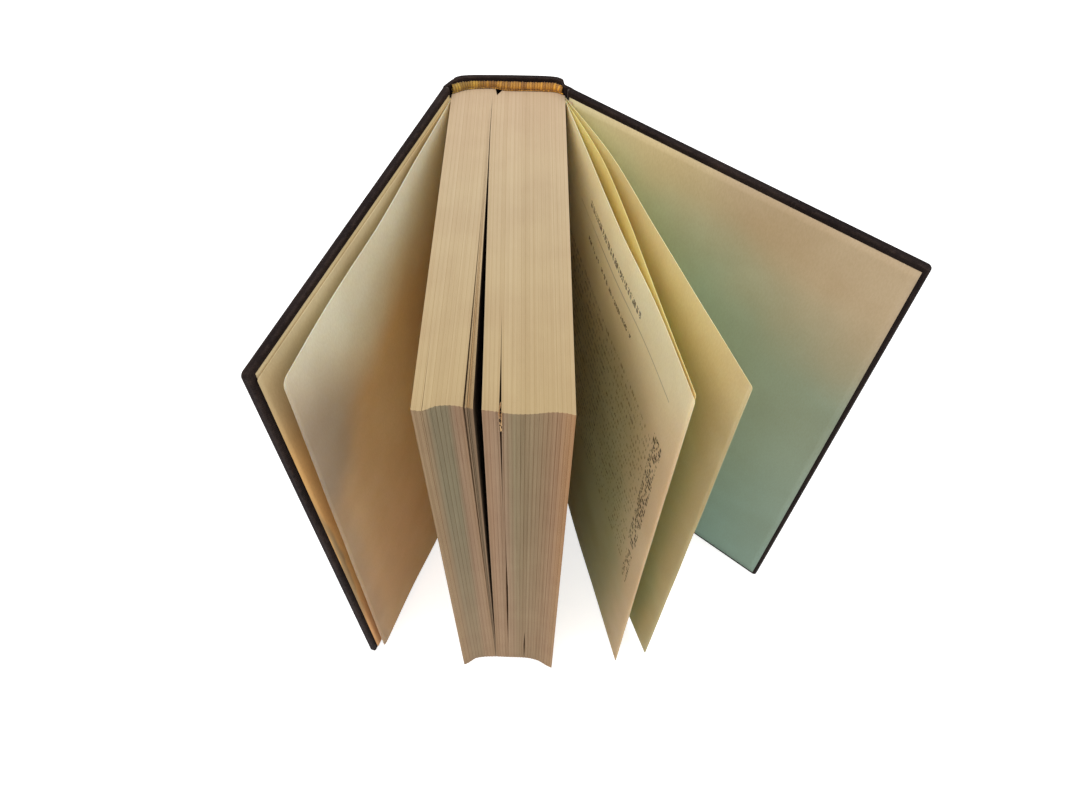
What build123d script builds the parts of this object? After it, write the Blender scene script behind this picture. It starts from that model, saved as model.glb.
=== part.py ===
from build123d import *

import math
import os
from dataclasses import dataclass

# An open case-bound book that stands on its tail with both covers fanned open.
# Millimetres. The origin is the middle of the spine's tail, +Z runs up to the head,
# the fore-edge looks along -Y, the front cover is at -X and the back cover at +X.

os.makedirs("parts", exist_ok=True)

# Case: cloth over greyboard
board_height = 206.0
cover_reach = 123.2
cloth_thickness = 0.3
core_thickness = 1.7
turn_in_width = 15.0
cover_corner_radius = 1.6
cover_edge_radius = 0.5
front_open_angle = 19.2
back_open_angle = 51.3

# Spine wall of the case
inlay_thickness = 0.8
inlay_side_margin = 0.9
wall_inset = 1.1
wall_drop = 1.9
spine_hollow = 1.9

# Joints between the spine wall and the covers: where the cloth of each one turns
hinge_setback = 1.0
joint_run = 0.9
joint_floor_gap = 0.5
front_fold_out = 1.4
front_fold_down = 0.9
back_fold_out = 0.9
back_fold_down = 2.0

# Text block
square = 3.0
page_depth = 124.4
spine_width = 36.9
fore_edge_width = 39.7
spine_round = 3.1
gathering_count = 18
gathering_notch = 0.22
right_half_setback = 1.0
tail_narrowing = 0.965

# Fore-edge: how far it stands proud or back at the head, and how far it is hollowed at the tail
head_swell = 0.8
head_hollow = 1.4
tail_hollow = 4.3

# Notch at the spine's head, where the pages have come away from each other
notch_depth = 5.5
notch_height = 9.0

# Linings, bands and papers
mull_thickness = 0.2
mull_end_margin = 14.0
mull_flange_width = 20.0
flange_start = 1.0
lining_thickness = 0.2
lining_end_margin = 2.0
band_height = 1.8
band_bevel = 0.45
band_tape_thickness = 0.25
band_tape_depth = 11.0
band_tape_lap = 0.3
endpaper_thickness = 0.15
leaf_thickness = 0.12
pastedown_margin = 1.8
pastedown_start = 0.8

# Leaves that stand away from the pages: how deep their roots lie and how far they swing out
leaf_root = 2.2
leaf_swing = 3.2

# Clearances
hinge_clearance = 0.4
seat_gap = 0.05
glue_line = 0.02
band_gap = 0.15
leaf_root_gap = 0.15
overrun = 1.0

# Worked out from the sizes above
cover_thickness = core_thickness + 2 * cloth_thickness
half_cover = cover_thickness / 2
half_core = core_thickness / 2
spine_wall = inlay_thickness + 2 * cloth_thickness
tail = square
head = board_height - square
page_height = head - tail
half_spine = spine_width / 2
half_fore_edge = fore_edge_width / 2
spine_edge_y = -(spine_wall / 2 + spine_hollow + spine_round)
hinge_x = half_spine + hinge_clearance + half_cover
hinge_y = spine_edge_y - hinge_setback
flange_end = flange_start + mull_flange_width
flange_depth = half_cover - mull_thickness
flange_tail = tail + mull_end_margin
flange_height = page_height - 2 * mull_end_margin


@dataclass(frozen=True)
class Side:
    """One side of the book: its name, where it lies along X, and how far its cover is open.

    The fold is where the cloth of the joint turns, out and down from the end of the spine wall.
    """

    name: str
    sign: int
    open_angle: float
    fold_out: float
    fold_down: float

    def direction(self, angle):
        """A unit vector in plan that is turned out from the fore-edge by an angle in degrees."""
        turn = math.radians(angle)
        return Vector(self.sign * math.sin(turn), -math.cos(turn), 0)

    def hinge(self):
        """The point in plan that the cover turns about."""
        return Vector(self.sign * hinge_x, hinge_y, 0)

    def outward(self):
        """The unit vector in plan that leaves the cover's outer face."""
        turn = math.radians(self.open_angle)
        return Vector(self.sign * math.cos(turn), math.sin(turn), 0)

    def cover_plane(self, height=0.0):
        """A level plane whose X runs along the cover from the hinge to the fore-edge."""
        origin = self.hinge() + Vector(0, 0, height)
        return Plane(origin=origin, x_dir=self.direction(self.open_angle), z_dir=(0, 0, 1))

    def on_cover(self, reach, out):
        """A point in plan at a reach along the cover and a distance out from its mid-plane."""
        return self.hinge() + self.direction(self.open_angle) * reach + self.outward() * out


front = Side("front", -1, front_open_angle, front_fold_out, front_fold_down)
back = Side("back", 1, back_open_angle, back_fold_out, back_fold_down)
sides = (front, back)


def write(node, name):
    """Labels a finished piece and writes it under its node name."""
    node.part.label = name
    export_step(node.part, "parts/" + name + ".step")


def beside(points, distance, steps):
    """Points on a line that runs to the left of a smooth curve, at a distance from it."""
    curve = Spline(*points, mode=Mode.PRIVATE)
    moved = []
    for step in range(steps + 1):
        place = curve @ (step / steps)
        along = curve % (step / steps)
        moved.append(place + Vector(-along.Y, along.X, 0) * distance)
    return moved


def strip(points, near, far, height):
    """A level face between two curves that run beside a smooth line, near and far to its left."""
    steps = 2 * len(points)
    first = beside(points, near, steps)
    second = beside(points, far, steps)
    with BuildSketch(Plane.XY.offset(height)) as face:
        with BuildLine():
            Spline(*first)
            Line(first[-1], second[-1])
            Spline(*reversed(second))
            Line(second[0], first[0])
        make_face()
    return face.sketch


def outline(points, height):
    """A level face inside a closed line of straight runs."""
    with BuildSketch(Plane.XY.offset(height)) as face:
        with BuildLine():
            Polyline(*points, close=True)
        make_face()
    return face.sketch


def wedge(low, high, low_height, high_height):
    """A tapered cutter between two level outlines that have as many corners each."""
    with BuildPart() as cutter:
        add(outline(low, low_height))
        add(outline(high, high_height))
        loft(ruled=True)
    return cutter.part


def at(x, depth):
    """A point in plan from its place across the block and its depth in from the spine's edge."""
    return Vector(x, spine_edge_y - depth, 0)


def across(share):
    """A place across the block at the fore-edge, from -1 at the front side to 1 at the back side."""
    return share * half_fore_edge


# Text block: the curve of its spine, and of its fore-edge at the head and at the tail.
# The pages of the front half stand a little further back than those of the back half.
spine_points = (
    at(-half_spine, 0.0),
    at(-0.76 * half_spine, -0.74 * spine_round),
    at(-0.50 * half_spine, -spine_round),
    at(-0.24 * half_spine, -spine_round),
    at(-0.06 * half_spine, right_half_setback * 0.9 - spine_round),
    at(0.30 * half_spine, right_half_setback - spine_round),
    at(0.62 * half_spine, right_half_setback * 1.1 - spine_round),
    at(0.84 * half_spine, -0.52 * spine_round),
    at(half_spine, 0.0),
)
head_fore_edge = (
    at(across(-1.0), page_depth),
    at(across(-0.87), page_depth + 0.38 * head_swell),
    at(across(-0.70), page_depth - 0.79 * head_hollow),
    at(across(-0.50), page_depth - head_hollow),
    at(across(-0.25), page_depth - 0.36 * head_hollow),
    at(across(0.0), page_depth + 0.12 * head_swell),
    at(across(0.22), page_depth + head_swell),
    at(across(0.45), page_depth + head_swell),
    at(across(0.72), page_depth + 0.25 * head_swell),
    at(across(0.88), page_depth + 0.5 * head_swell),
    at(across(1.0), page_depth + 1.25 * head_swell),
)
tail_fore_edge = (
    at(across(-1.0) * tail_narrowing, page_depth - 0.14 * tail_hollow),
    at(across(-0.90) * tail_narrowing, page_depth - 0.35 * tail_hollow),
    at(across(-0.74) * tail_narrowing, page_depth - 0.81 * tail_hollow),
    at(across(-0.45) * tail_narrowing, page_depth - tail_hollow),
    at(across(0.05) * tail_narrowing, page_depth - 0.98 * tail_hollow),
    at(across(0.45) * tail_narrowing, page_depth - 0.91 * tail_hollow),
    at(across(0.70) * tail_narrowing, page_depth - 0.63 * tail_hollow),
    at(across(0.88) * tail_narrowing, page_depth - 0.16 * tail_hollow),
    at(across(1.0) * tail_narrowing, page_depth + 0.07 * tail_hollow),
)


def gathered(points):
    """A fore-edge line with one shallow notch between each gathering of pages and the next."""
    curve = Spline(*points, mode=Mode.PRIVATE)
    line = [curve @ 0.0]
    for gathering in range(gathering_count):
        middle = (gathering + 0.5) / gathering_count
        line.append(curve @ middle)
        end = (gathering + 1) / gathering_count
        inset = gathering_notch if gathering < gathering_count - 1 else 0.0
        line.append(curve @ end + Vector(0, inset, 0))
    return line


def block_outline(fore_edge, height):
    """The outline of the pages at one height: the folds of the gatherings and the fore-edge."""
    folds = beside(spine_points, 0, gathering_count)
    return outline(folds + gathered(fore_edge)[::-1], height)


@dataclass(frozen=True)
class Slit:
    """A gap in the fore-edge between two pages, which tapers to nothing at its other end.

    Places and widths are shares of half the fore-edge. The wide end has its own place, width and
    depth, the thin end a place and a depth, and each end has its height.
    """

    wide_place: float
    wide_width: float
    wide_depth: float
    wide_height: float
    thin_place: float
    thin_depth: float
    thin_height: float

    def end_outline(self, place, width, depth):
        """The triangle that the slit takes out of the pages at one height."""
        root = at(across(place - slit_lean * (place - self.thin_place)), page_depth - depth)
        start = at(across(place - width / 2), page_depth + slit_overrun)
        end = at(across(place + width / 2), page_depth + slit_overrun)
        return root, start, end

    def cutter(self):
        """The wedge that opens the slit."""
        wide = self.end_outline(self.wide_place, self.wide_width, self.wide_depth)
        thin = self.end_outline(self.thin_place, thin_slit_width, self.thin_depth)
        if self.wide_height > self.thin_height:
            return wedge(thin, wide, self.thin_height, self.wide_height)
        return wedge(wide, thin, self.wide_height, self.thin_height)


# How far the slits' cutters reach past the fore-edge, how a slit's root leans towards its thin
# end, and how shallow the thin end of a short slit is
slit_overrun = 6 * overrun
slit_lean = 0.9
thin_slit_width = 0.003
thin_slit_depth = 0.016 * page_depth
above = head + overrun
below = tail - overrun


def up_page(share):
    """A height from its share of the pages' height, from 0 at the tail to 1 at the head."""
    return tail + share * page_height


# The main gap parts the two halves, and a few loose leaves stand between it and the next slit.
main_gap = Slit(-0.195, 0.11, 0.83 * page_depth, above, -0.268, 0.096 * page_depth, up_page(0.02))
second_slit = Slit(-0.364, 0.023, 0.60 * page_depth, above, -0.292, 0.064 * page_depth, up_page(0.09))
short_slits = (
    Slit(0.085, 0.024, 0.153 * page_depth, above, 0.085, thin_slit_depth, up_page(0.735)),
    Slit(-0.865, 0.012, 0.241 * page_depth, above, -0.865, thin_slit_depth, up_page(0.535)),
    Slit(0.115, 0.012, 0.072 * page_depth, up_page(0.095), 0.115, thin_slit_depth, up_page(0.375)),
    Slit(0.43, 0.018, 0.072 * page_depth, below, 0.43, thin_slit_depth, up_page(0.135)),
)

# A notch at the head shows where the pages have come away from each other at the spine.
notch_place = -0.19 * half_spine
notch_width = 0.15 * half_spine


def notch_outline(width, depth):
    """The triangle that the notch takes out of the spine at one height."""
    edge = -spine_round - overrun
    start = at(notch_place - width / 2, edge)
    end = at(notch_place + width / 2, edge)
    return start, at(notch_place, edge + depth), end


with BuildPart() as text_block:
    add(block_outline(tail_fore_edge, tail))
    add(block_outline(head_fore_edge, head))
    loft(ruled=True)
    for slit in (main_gap, second_slit, *short_slits):
        add(slit.cutter(), mode=Mode.SUBTRACT)
    low_notch = notch_outline(0.1 * notch_width, overrun)
    high_notch = notch_outline(notch_width, notch_depth + spine_round + overrun)
    add(wedge(low_notch, high_notch, head - notch_height, above), mode=Mode.SUBTRACT)
write(text_block, "text_block")

# Linings glued to the spine of the pages, trimmed to its width
lining_near = mull_thickness + glue_line
lining_far = lining_near + lining_thickness


def lining(near, far, low, height):
    """A layer that follows the spine of the pages and stops at its two edges."""
    inner = beside(spine_points, near, gathering_count)
    outer = beside(spine_points, far, gathering_count)
    with BuildPart() as layer:
        add(outline(inner + outer[::-1], low))
        extrude(amount=height)
        with BuildSketch(Plane.XY.offset(low)):
            Rectangle(spine_width, 4 * abs(spine_edge_y))
        extrude(amount=height, mode=Mode.INTERSECT)
    return layer.part


with BuildPart() as spine_mull:
    add(lining(glue_line, mull_thickness, tail + mull_end_margin, page_height - 2 * mull_end_margin))
write(spine_mull, "spine_mull")

with BuildPart() as spine_lining:
    add(lining(lining_near, lining_far, tail + lining_end_margin, page_height - 2 * lining_end_margin))
write(spine_lining, "spine_lining")

# Spine wall of the case: a gentle round that turns down towards the two joints
wall_half = half_spine - wall_inset
wall_points = (
    Vector(-wall_half, -wall_drop, 0),
    Vector(-0.93 * wall_half, -0.5 * wall_drop, 0),
    Vector(-0.80 * wall_half, -0.2 * wall_drop, 0),
    Vector(-0.42 * wall_half, -0.042 * wall_drop, 0),
    Vector(0, 0, 0),
    Vector(0.42 * wall_half, -0.042 * wall_drop, 0),
    Vector(0.80 * wall_half, -0.2 * wall_drop, 0),
    Vector(0.93 * wall_half, -0.5 * wall_drop, 0),
    Vector(wall_half, -wall_drop, 0),
)
half_inlay = inlay_thickness / 2
wall_far = spine_wall / 2

with BuildPart() as spine_inlay:
    add(strip(wall_points, -half_inlay, half_inlay, cloth_thickness))
    extrude(amount=board_height - 2 * cloth_thickness)
    with BuildSketch(Plane.XY):
        Rectangle(2 * (wall_half - inlay_side_margin), 4 * wall_drop)
    extrude(amount=board_height, mode=Mode.INTERSECT)
write(spine_inlay, "spine_inlay")

# The cloth covers the wall's back and is turned in over the inlay at the head and the tail.
with BuildPart() as spine_cloth:
    add(strip(wall_points, -wall_far, wall_far, 0.0))
    extrude(amount=board_height)
    add(spine_inlay.part, mode=Mode.SUBTRACT)
    add(strip(wall_points, -wall_far - overrun, -half_inlay, turn_in_width))
    extrude(amount=board_height - 2 * turn_in_width, mode=Mode.SUBTRACT)
write(spine_cloth, "spine_cloth")


def band_outline(inset, height):
    """The plan of a band's roll between the pages and the spine wall, drawn in by an inset."""
    front_line = beside(spine_points, seat_gap + inset, gathering_count)
    back_line = beside(wall_points, -wall_far - band_gap - inset, gathering_count)
    return outline(front_line + back_line[::-1], height)


def make_band(name, seat, tip, tape_low):
    """A band at one end of the spine: a roll with a bevelled rim and a tape glued down its back."""
    rim = seat + (tip - seat) * (1 - band_bevel / band_height)
    tape_near = lining_far + glue_line
    with BuildPart() as band:
        add(band_outline(0, seat))
        extrude(amount=rim - seat)
        add(lining(tape_near, tape_near + band_tape_thickness, tape_low, band_tape_depth))
        add(band_outline(0, rim))
        add(band_outline(band_bevel, tip))
        loft(ruled=True)
        with BuildSketch(Plane.XY):
            Rectangle(spine_width, 4 * abs(spine_edge_y))
        extrude(amount=board_height, mode=Mode.INTERSECT)
    write(band, name)


head_seat = head + glue_line
tail_seat = tail - glue_line
make_band("headband", head_seat, head_seat + band_height, head - band_tape_depth + band_tape_lap)
make_band("tailband", tail_seat, tail_seat - band_height, tail - band_tape_lap)


def on_inner_face(side, start, end, near, far, height):
    """A thin plan on a cover's inner face, between two reaches and two depths from its middle."""
    with BuildSketch(side.cover_plane(height)) as plan:
        with Locations(((start + end) / 2, -side.sign * (near + far) / 2)):
            Rectangle(end - start, far - near)
    return plan.sketch


def cover_slab(side, half, reach, height):
    """The plan of a slab that turns about its round end."""
    with BuildSketch(side.cover_plane(height)) as plan:
        with BuildLine():
            Polyline((0, half), (reach, half), (reach, -half), (0, -half))
            ThreePointArc((0, -half), (-half, 0), (0, half))
        make_face()
    return plan.sketch


def fore_edge_corners(side, node):
    """The two edges of a cover piece that cross its thickness at the fore-edge corners."""
    crossing = node.edges().filter_by(lambda edge: abs(edge.tangent_at(0).dot(side.outward())) > 0.999)
    return crossing.sort_by(lambda edge: edge.center().dot(side.direction(side.open_angle)))[-2:]


def make_board(side):
    """A greyboard whose edges are thinner where the turned-in cloth lies over them."""
    field_reach = cover_reach - turn_in_width
    with BuildPart() as board:
        add(cover_slab(side, half_core, cover_reach - cloth_thickness, cloth_thickness))
        extrude(amount=board_height - 2 * cloth_thickness)
        fillet(fore_edge_corners(side, board), cover_corner_radius - cloth_thickness)
        add(on_inner_face(side, 0, field_reach, 0, half_cover, turn_in_width))
        extrude(amount=board_height - 2 * turn_in_width)
        add(on_inner_face(side, flange_start, flange_end, flange_depth, half_cover + overrun, flange_tail))
        extrude(amount=flange_height, mode=Mode.SUBTRACT)
    write(board, side.name + "_board")
    return board


def make_cover_cloth(side, board):
    """Cloth over a board's outer face, wrapped round its edges and turned in on its inner face."""
    with BuildPart() as cloth:
        add(on_inner_face(side, 0, cover_reach, -half_cover, half_cover, 0))
        extrude(amount=board_height)
        fillet(fore_edge_corners(side, cloth), cover_corner_radius)
        rims = cloth.faces().filter_by(lambda face: abs(face.normal_at().dot(side.outward())) > 0.999)
        by_reach = rims.edges().sort_by(lambda edge: edge.center().dot(side.direction(side.open_angle)))
        fillet(by_reach[2:], cover_edge_radius)
        field_reach = cover_reach - turn_in_width
        add(on_inner_face(side, -overrun, field_reach, half_core, half_cover + overrun, turn_in_width))
        extrude(amount=board_height - 2 * turn_in_width, mode=Mode.SUBTRACT)
        add(board.part, mode=Mode.SUBTRACT)
    write(cloth, side.name + "_cover_cloth")


def make_mull_flange(side):
    """The open-weave flange that ties the pages to a board, let into its inner face."""
    with BuildPart() as flange:
        add(on_inner_face(side, flange_start, flange_end, flange_depth, half_cover, flange_tail))
        extrude(amount=flange_height)
    write(flange, side.name + "_mull_flange")


def make_pastedown(side):
    """The endpaper glued to a cover's inner face, with a margin of cloth left round it."""
    end = cover_reach - pastedown_margin
    far = half_cover + endpaper_thickness
    with BuildPart() as pastedown:
        add(on_inner_face(side, pastedown_start, end, half_cover, far, pastedown_margin))
        extrude(amount=board_height - 2 * pastedown_margin)
    write(pastedown, side.name + "_pastedown")


def make_joint_cloth(side):
    """The free strip of cloth between the spine wall and a cover."""
    layer = half_cover - cloth_thickness / 2
    wall_end = Vector(side.sign * wall_half, -wall_drop, 0)
    points = (
        side.on_cover(-seat_gap, layer),
        side.on_cover(-joint_run, layer),
        wall_end + Vector(side.sign * side.fold_out, -side.fold_down, 0),
        wall_end + Vector(side.sign * (wall_far + seat_gap), -seat_gap, 0),
    )
    near = -cloth_thickness / 2
    with BuildPart() as joint:
        add(strip(points, near, -near, joint_floor_gap))
        extrude(amount=board_height - 2 * joint_floor_gap)
    write(joint, side.name + "_joint_cloth")


for side in sides:
    board = make_board(side)
    make_cover_cloth(side, board)
    make_mull_flange(side)
    make_pastedown(side)
    make_joint_cloth(side)


@dataclass(frozen=True)
class Leaf:
    """A leaf that stands away from the pages.

    The root is a share of the deepest leaf's root, and the length a share of the pages' depth. The
    head and tail angles are taken from the root to the fore-edge. Each bow gives how far the leaf
    swings outward from that straight line at a quarter, a half and three quarters of it, as shares
    of the widest swing.
    """

    root: float
    length: float
    head_angle: float
    head_bow: tuple
    tail_angle: float
    tail_bow: tuple
    thickness: float = leaf_thickness


def leaf_plan(side, leaf, angle, bow, height):
    """The plan of a leaf at one height, from its root at the pages to its fore-edge."""
    root = Vector(side.sign * (half_spine + leaf_root_gap), hinge_y - leaf.root * leaf_root, 0)
    reach = side.direction(angle) * (leaf.length * page_depth)
    outward = Vector(-side.sign * reach.Y, side.sign * reach.X, 0).normalized()
    points = [root]
    for step, swing in enumerate(bow, start=1):
        points.append(root + reach * (step / (len(bow) + 1)) + outward * (swing * leaf_swing))
    points.append(root + reach)
    inner = beside(points, -leaf.thickness / 2, leaf_runs)
    outer = beside(points, leaf.thickness / 2, leaf_runs)
    return outline(inner + outer[::-1], height)


def leaf_solid(side, leaf):
    """A thin leaf between its plan at the tail and its plan at the head."""
    with BuildPart() as sheet:
        add(leaf_plan(side, leaf, leaf.tail_angle, leaf.tail_bow, tail))
        add(leaf_plan(side, leaf, leaf.head_angle, leaf.head_bow, head))
        loft(ruled=True)
    return sheet.part


# Leaves that have come away from the pages and stand between them and the covers
leaf_runs = 40
loose_front = Leaf(1.0, 0.953, 16.3, (-0.13, -0.47, 0.06), 17.9, (-0.38, -0.69, -0.19))
loose_back = Leaf(0.68, 0.982, 14.2, (-0.03, -0.09, 0.22), 13.6, (-0.28, -0.38, -0.13))
loose_back_fold = Leaf(0.68, 0.969, 14.6, (1.0, 0.88, 0.41), 14.0, (0.81, 0.81, 0.31))
fly_front = Leaf(0.5, 0.984, 18.9, (0.0, 0.0, 0.0), 18.9, (0.0, 0.0, 0.0), endpaper_thickness)
fly_back = Leaf(0.05, 0.995, 21.1, (0.38, 0.25, 0.13), 19.8, (0.19, 0.16, 0.06), endpaper_thickness)

with BuildPart() as front_loose_leaf:
    add(leaf_solid(front, loose_front))
write(front_loose_leaf, "front_loose_leaf")

with BuildPart() as back_loose_leaves:
    add(leaf_solid(back, loose_back))
    add(leaf_solid(back, loose_back_fold))
write(back_loose_leaves, "back_loose_leaves")

with BuildPart() as front_flyleaf:
    add(leaf_solid(front, fly_front))
write(front_flyleaf, "front_flyleaf")

with BuildPart() as back_flyleaf:
    add(leaf_solid(back, fly_back))
write(back_flyleaf, "back_flyleaf")
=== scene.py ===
"""Looks of an open hardcover book that stands on its tail with both covers fanned open.

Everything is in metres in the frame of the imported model: the origin is the middle of the
spine's tail, +Z runs up to the head, the fore-edge looks along -Y, the front cover is at -X.
"""

import logging
import math
import random
from collections.abc import Callable, Sequence
from dataclasses import dataclass
from enum import Enum

import bpy
from mathutils import Matrix, Vector, noise


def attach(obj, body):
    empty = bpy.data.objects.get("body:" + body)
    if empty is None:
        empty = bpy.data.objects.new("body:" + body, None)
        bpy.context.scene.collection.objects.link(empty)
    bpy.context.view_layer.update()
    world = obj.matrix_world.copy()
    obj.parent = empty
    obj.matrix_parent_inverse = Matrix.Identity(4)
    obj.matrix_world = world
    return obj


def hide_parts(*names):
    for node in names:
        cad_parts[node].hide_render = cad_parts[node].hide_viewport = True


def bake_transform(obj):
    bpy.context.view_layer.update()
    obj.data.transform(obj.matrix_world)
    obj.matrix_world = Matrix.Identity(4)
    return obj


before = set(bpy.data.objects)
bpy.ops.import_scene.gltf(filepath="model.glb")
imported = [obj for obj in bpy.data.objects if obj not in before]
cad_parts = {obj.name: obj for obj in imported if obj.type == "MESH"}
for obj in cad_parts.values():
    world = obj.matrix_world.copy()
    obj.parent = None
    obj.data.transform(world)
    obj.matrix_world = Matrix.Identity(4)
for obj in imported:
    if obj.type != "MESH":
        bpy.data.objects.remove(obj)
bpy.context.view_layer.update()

MM = 0.001
LOG = logging.getLogger("open_book")
TAIL, HEAD = 3.0 * MM, 203.0 * MM
WALL_HALF, WALL_DROP = 17.35 * MM, 1.9 * MM
PASTE_FACE = 1.15 * MM
FIBRE_RELIEF = 0.1 * MM

Colour = tuple[float, float, float, float]
Screen = tuple[int, int, int]
Stops = tuple[tuple[float, Screen], ...]
Bow = tuple[float, float, float]
Socket = bpy.types.NodeSocket
Material = bpy.types.Material
Piece = bpy.types.Object


def tint(red: int, green: int, blue: int) -> Colour:
    """Turns a screen colour, from 0 to 255, into the linear colour that shaders take."""
    shares = [part / 255 for part in (red, green, blue)]
    linear = [s / 12.92 if s <= 0.04045 else ((s + 0.055) / 1.055) ** 2.4 for s in shares]
    return (linear[0], linear[1], linear[2], 1.0)


WHITE = tint(255, 255, 255)


def between(low: float, high: float, share: float) -> float:
    """Gives the value at a share of the way from low to high."""
    return low + (high - low) * share


def clamp(value: float) -> float:
    """Keeps a value between 0 and 1."""
    return min(1.0, max(0.0, value))


def smooth_curve(start: object, end: object, leave: object, arrive: object, t: float) -> object:
    """Reads the smooth curve between two numbers or vectors.

    Args:
        start: Its start.
        end: Its end.
        leave: How fast it leaves the start.
        arrive: How fast it arrives at the end.
        t: Where to read it, from 0 to 1.

    Returns:
        The number or vector there.
    """
    from_start = start * (2 * t**3 - 3 * t**2 + 1) + leave * (t**3 - 2 * t**2 + t)
    return from_start + end * (3 * t**2 - 2 * t**3) + arrive * (t**3 - t**2)


def linked(name: str, data: bpy.types.ID) -> Piece:
    """Makes an object of some data and links it to the scene."""
    piece = bpy.data.objects.new(name, data)
    bpy.context.scene.collection.objects.link(piece)
    return piece


@dataclass(frozen=True)
class Profile:
    """A smooth line through points, read by its first number.

    Attributes:
        points: Pairs of place and value, in rising order of place.
    """

    points: tuple[tuple[float, float], ...]

    def slope(self, index: int) -> float:
        """Gives the slope of the line at one of its points."""
        low = self.points[max(index - 1, 0)]
        high = self.points[min(index + 1, len(self.points) - 1)]
        return (high[1] - low[1]) / (high[0] - low[0])

    def at(self, place: float) -> float:
        """Reads the line at a place. Past either end it keeps the end's value."""
        if place <= self.points[0][0]:
            return self.points[0][1]
        if place >= self.points[-1][0]:
            return self.points[-1][1]
        index = next(i for i, point in enumerate(self.points) if point[0] > place) - 1
        (start, low), (end, high) = self.points[index], self.points[index + 1]
        span = end - start
        slopes = span * self.slope(index), span * self.slope(index + 1)
        return smooth_curve(low, high, *slopes, (place - start) / span)


class Side(Enum):
    """The book's two sides, with the sign of X and the angle of the cover at rest."""

    FRONT = ("front", -1, 19.2)
    BACK = ("back", 1, 51.3)

    def __init__(self, label: str, sign: int, open_angle: float) -> None:
        """Keeps the side's name, sign and angle."""
        self.label = label
        self.sign = sign
        self.open_angle = open_angle

    @property
    def body(self) -> str:
        """The CAD body of this side's cover."""
        return f"{self.label}_cover"

    @property
    def hinge(self) -> Vector:
        """The point in plan that the cover turns about."""
        return Vector((self.sign * 20.0, -6.7, 0.0)) * MM

    def direction(self, angle: float) -> Vector:
        """Gives the unit vector in plan at an angle in degrees out from the fore-edge."""
        turn = math.radians(angle)
        return Vector((self.sign * math.sin(turn), -math.cos(turn), 0.0))

    def swing(self, angle: float) -> Vector:
        """Gives the unit vector that points outward from a leaf or cover at an angle in degrees."""
        turn = math.radians(angle)
        return Vector((self.sign * math.cos(turn), math.sin(turn), 0.0))

    def on_cover(self, reach: float, out: float, height: float = 0.0) -> Vector:
        """Gives a point by its reach along the cover, its distance out of it and its height."""
        plan = self.hinge + self.direction(self.open_angle) * reach
        plan += self.swing(self.open_angle) * out
        return plan + Vector((0.0, 0.0, height))


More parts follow.
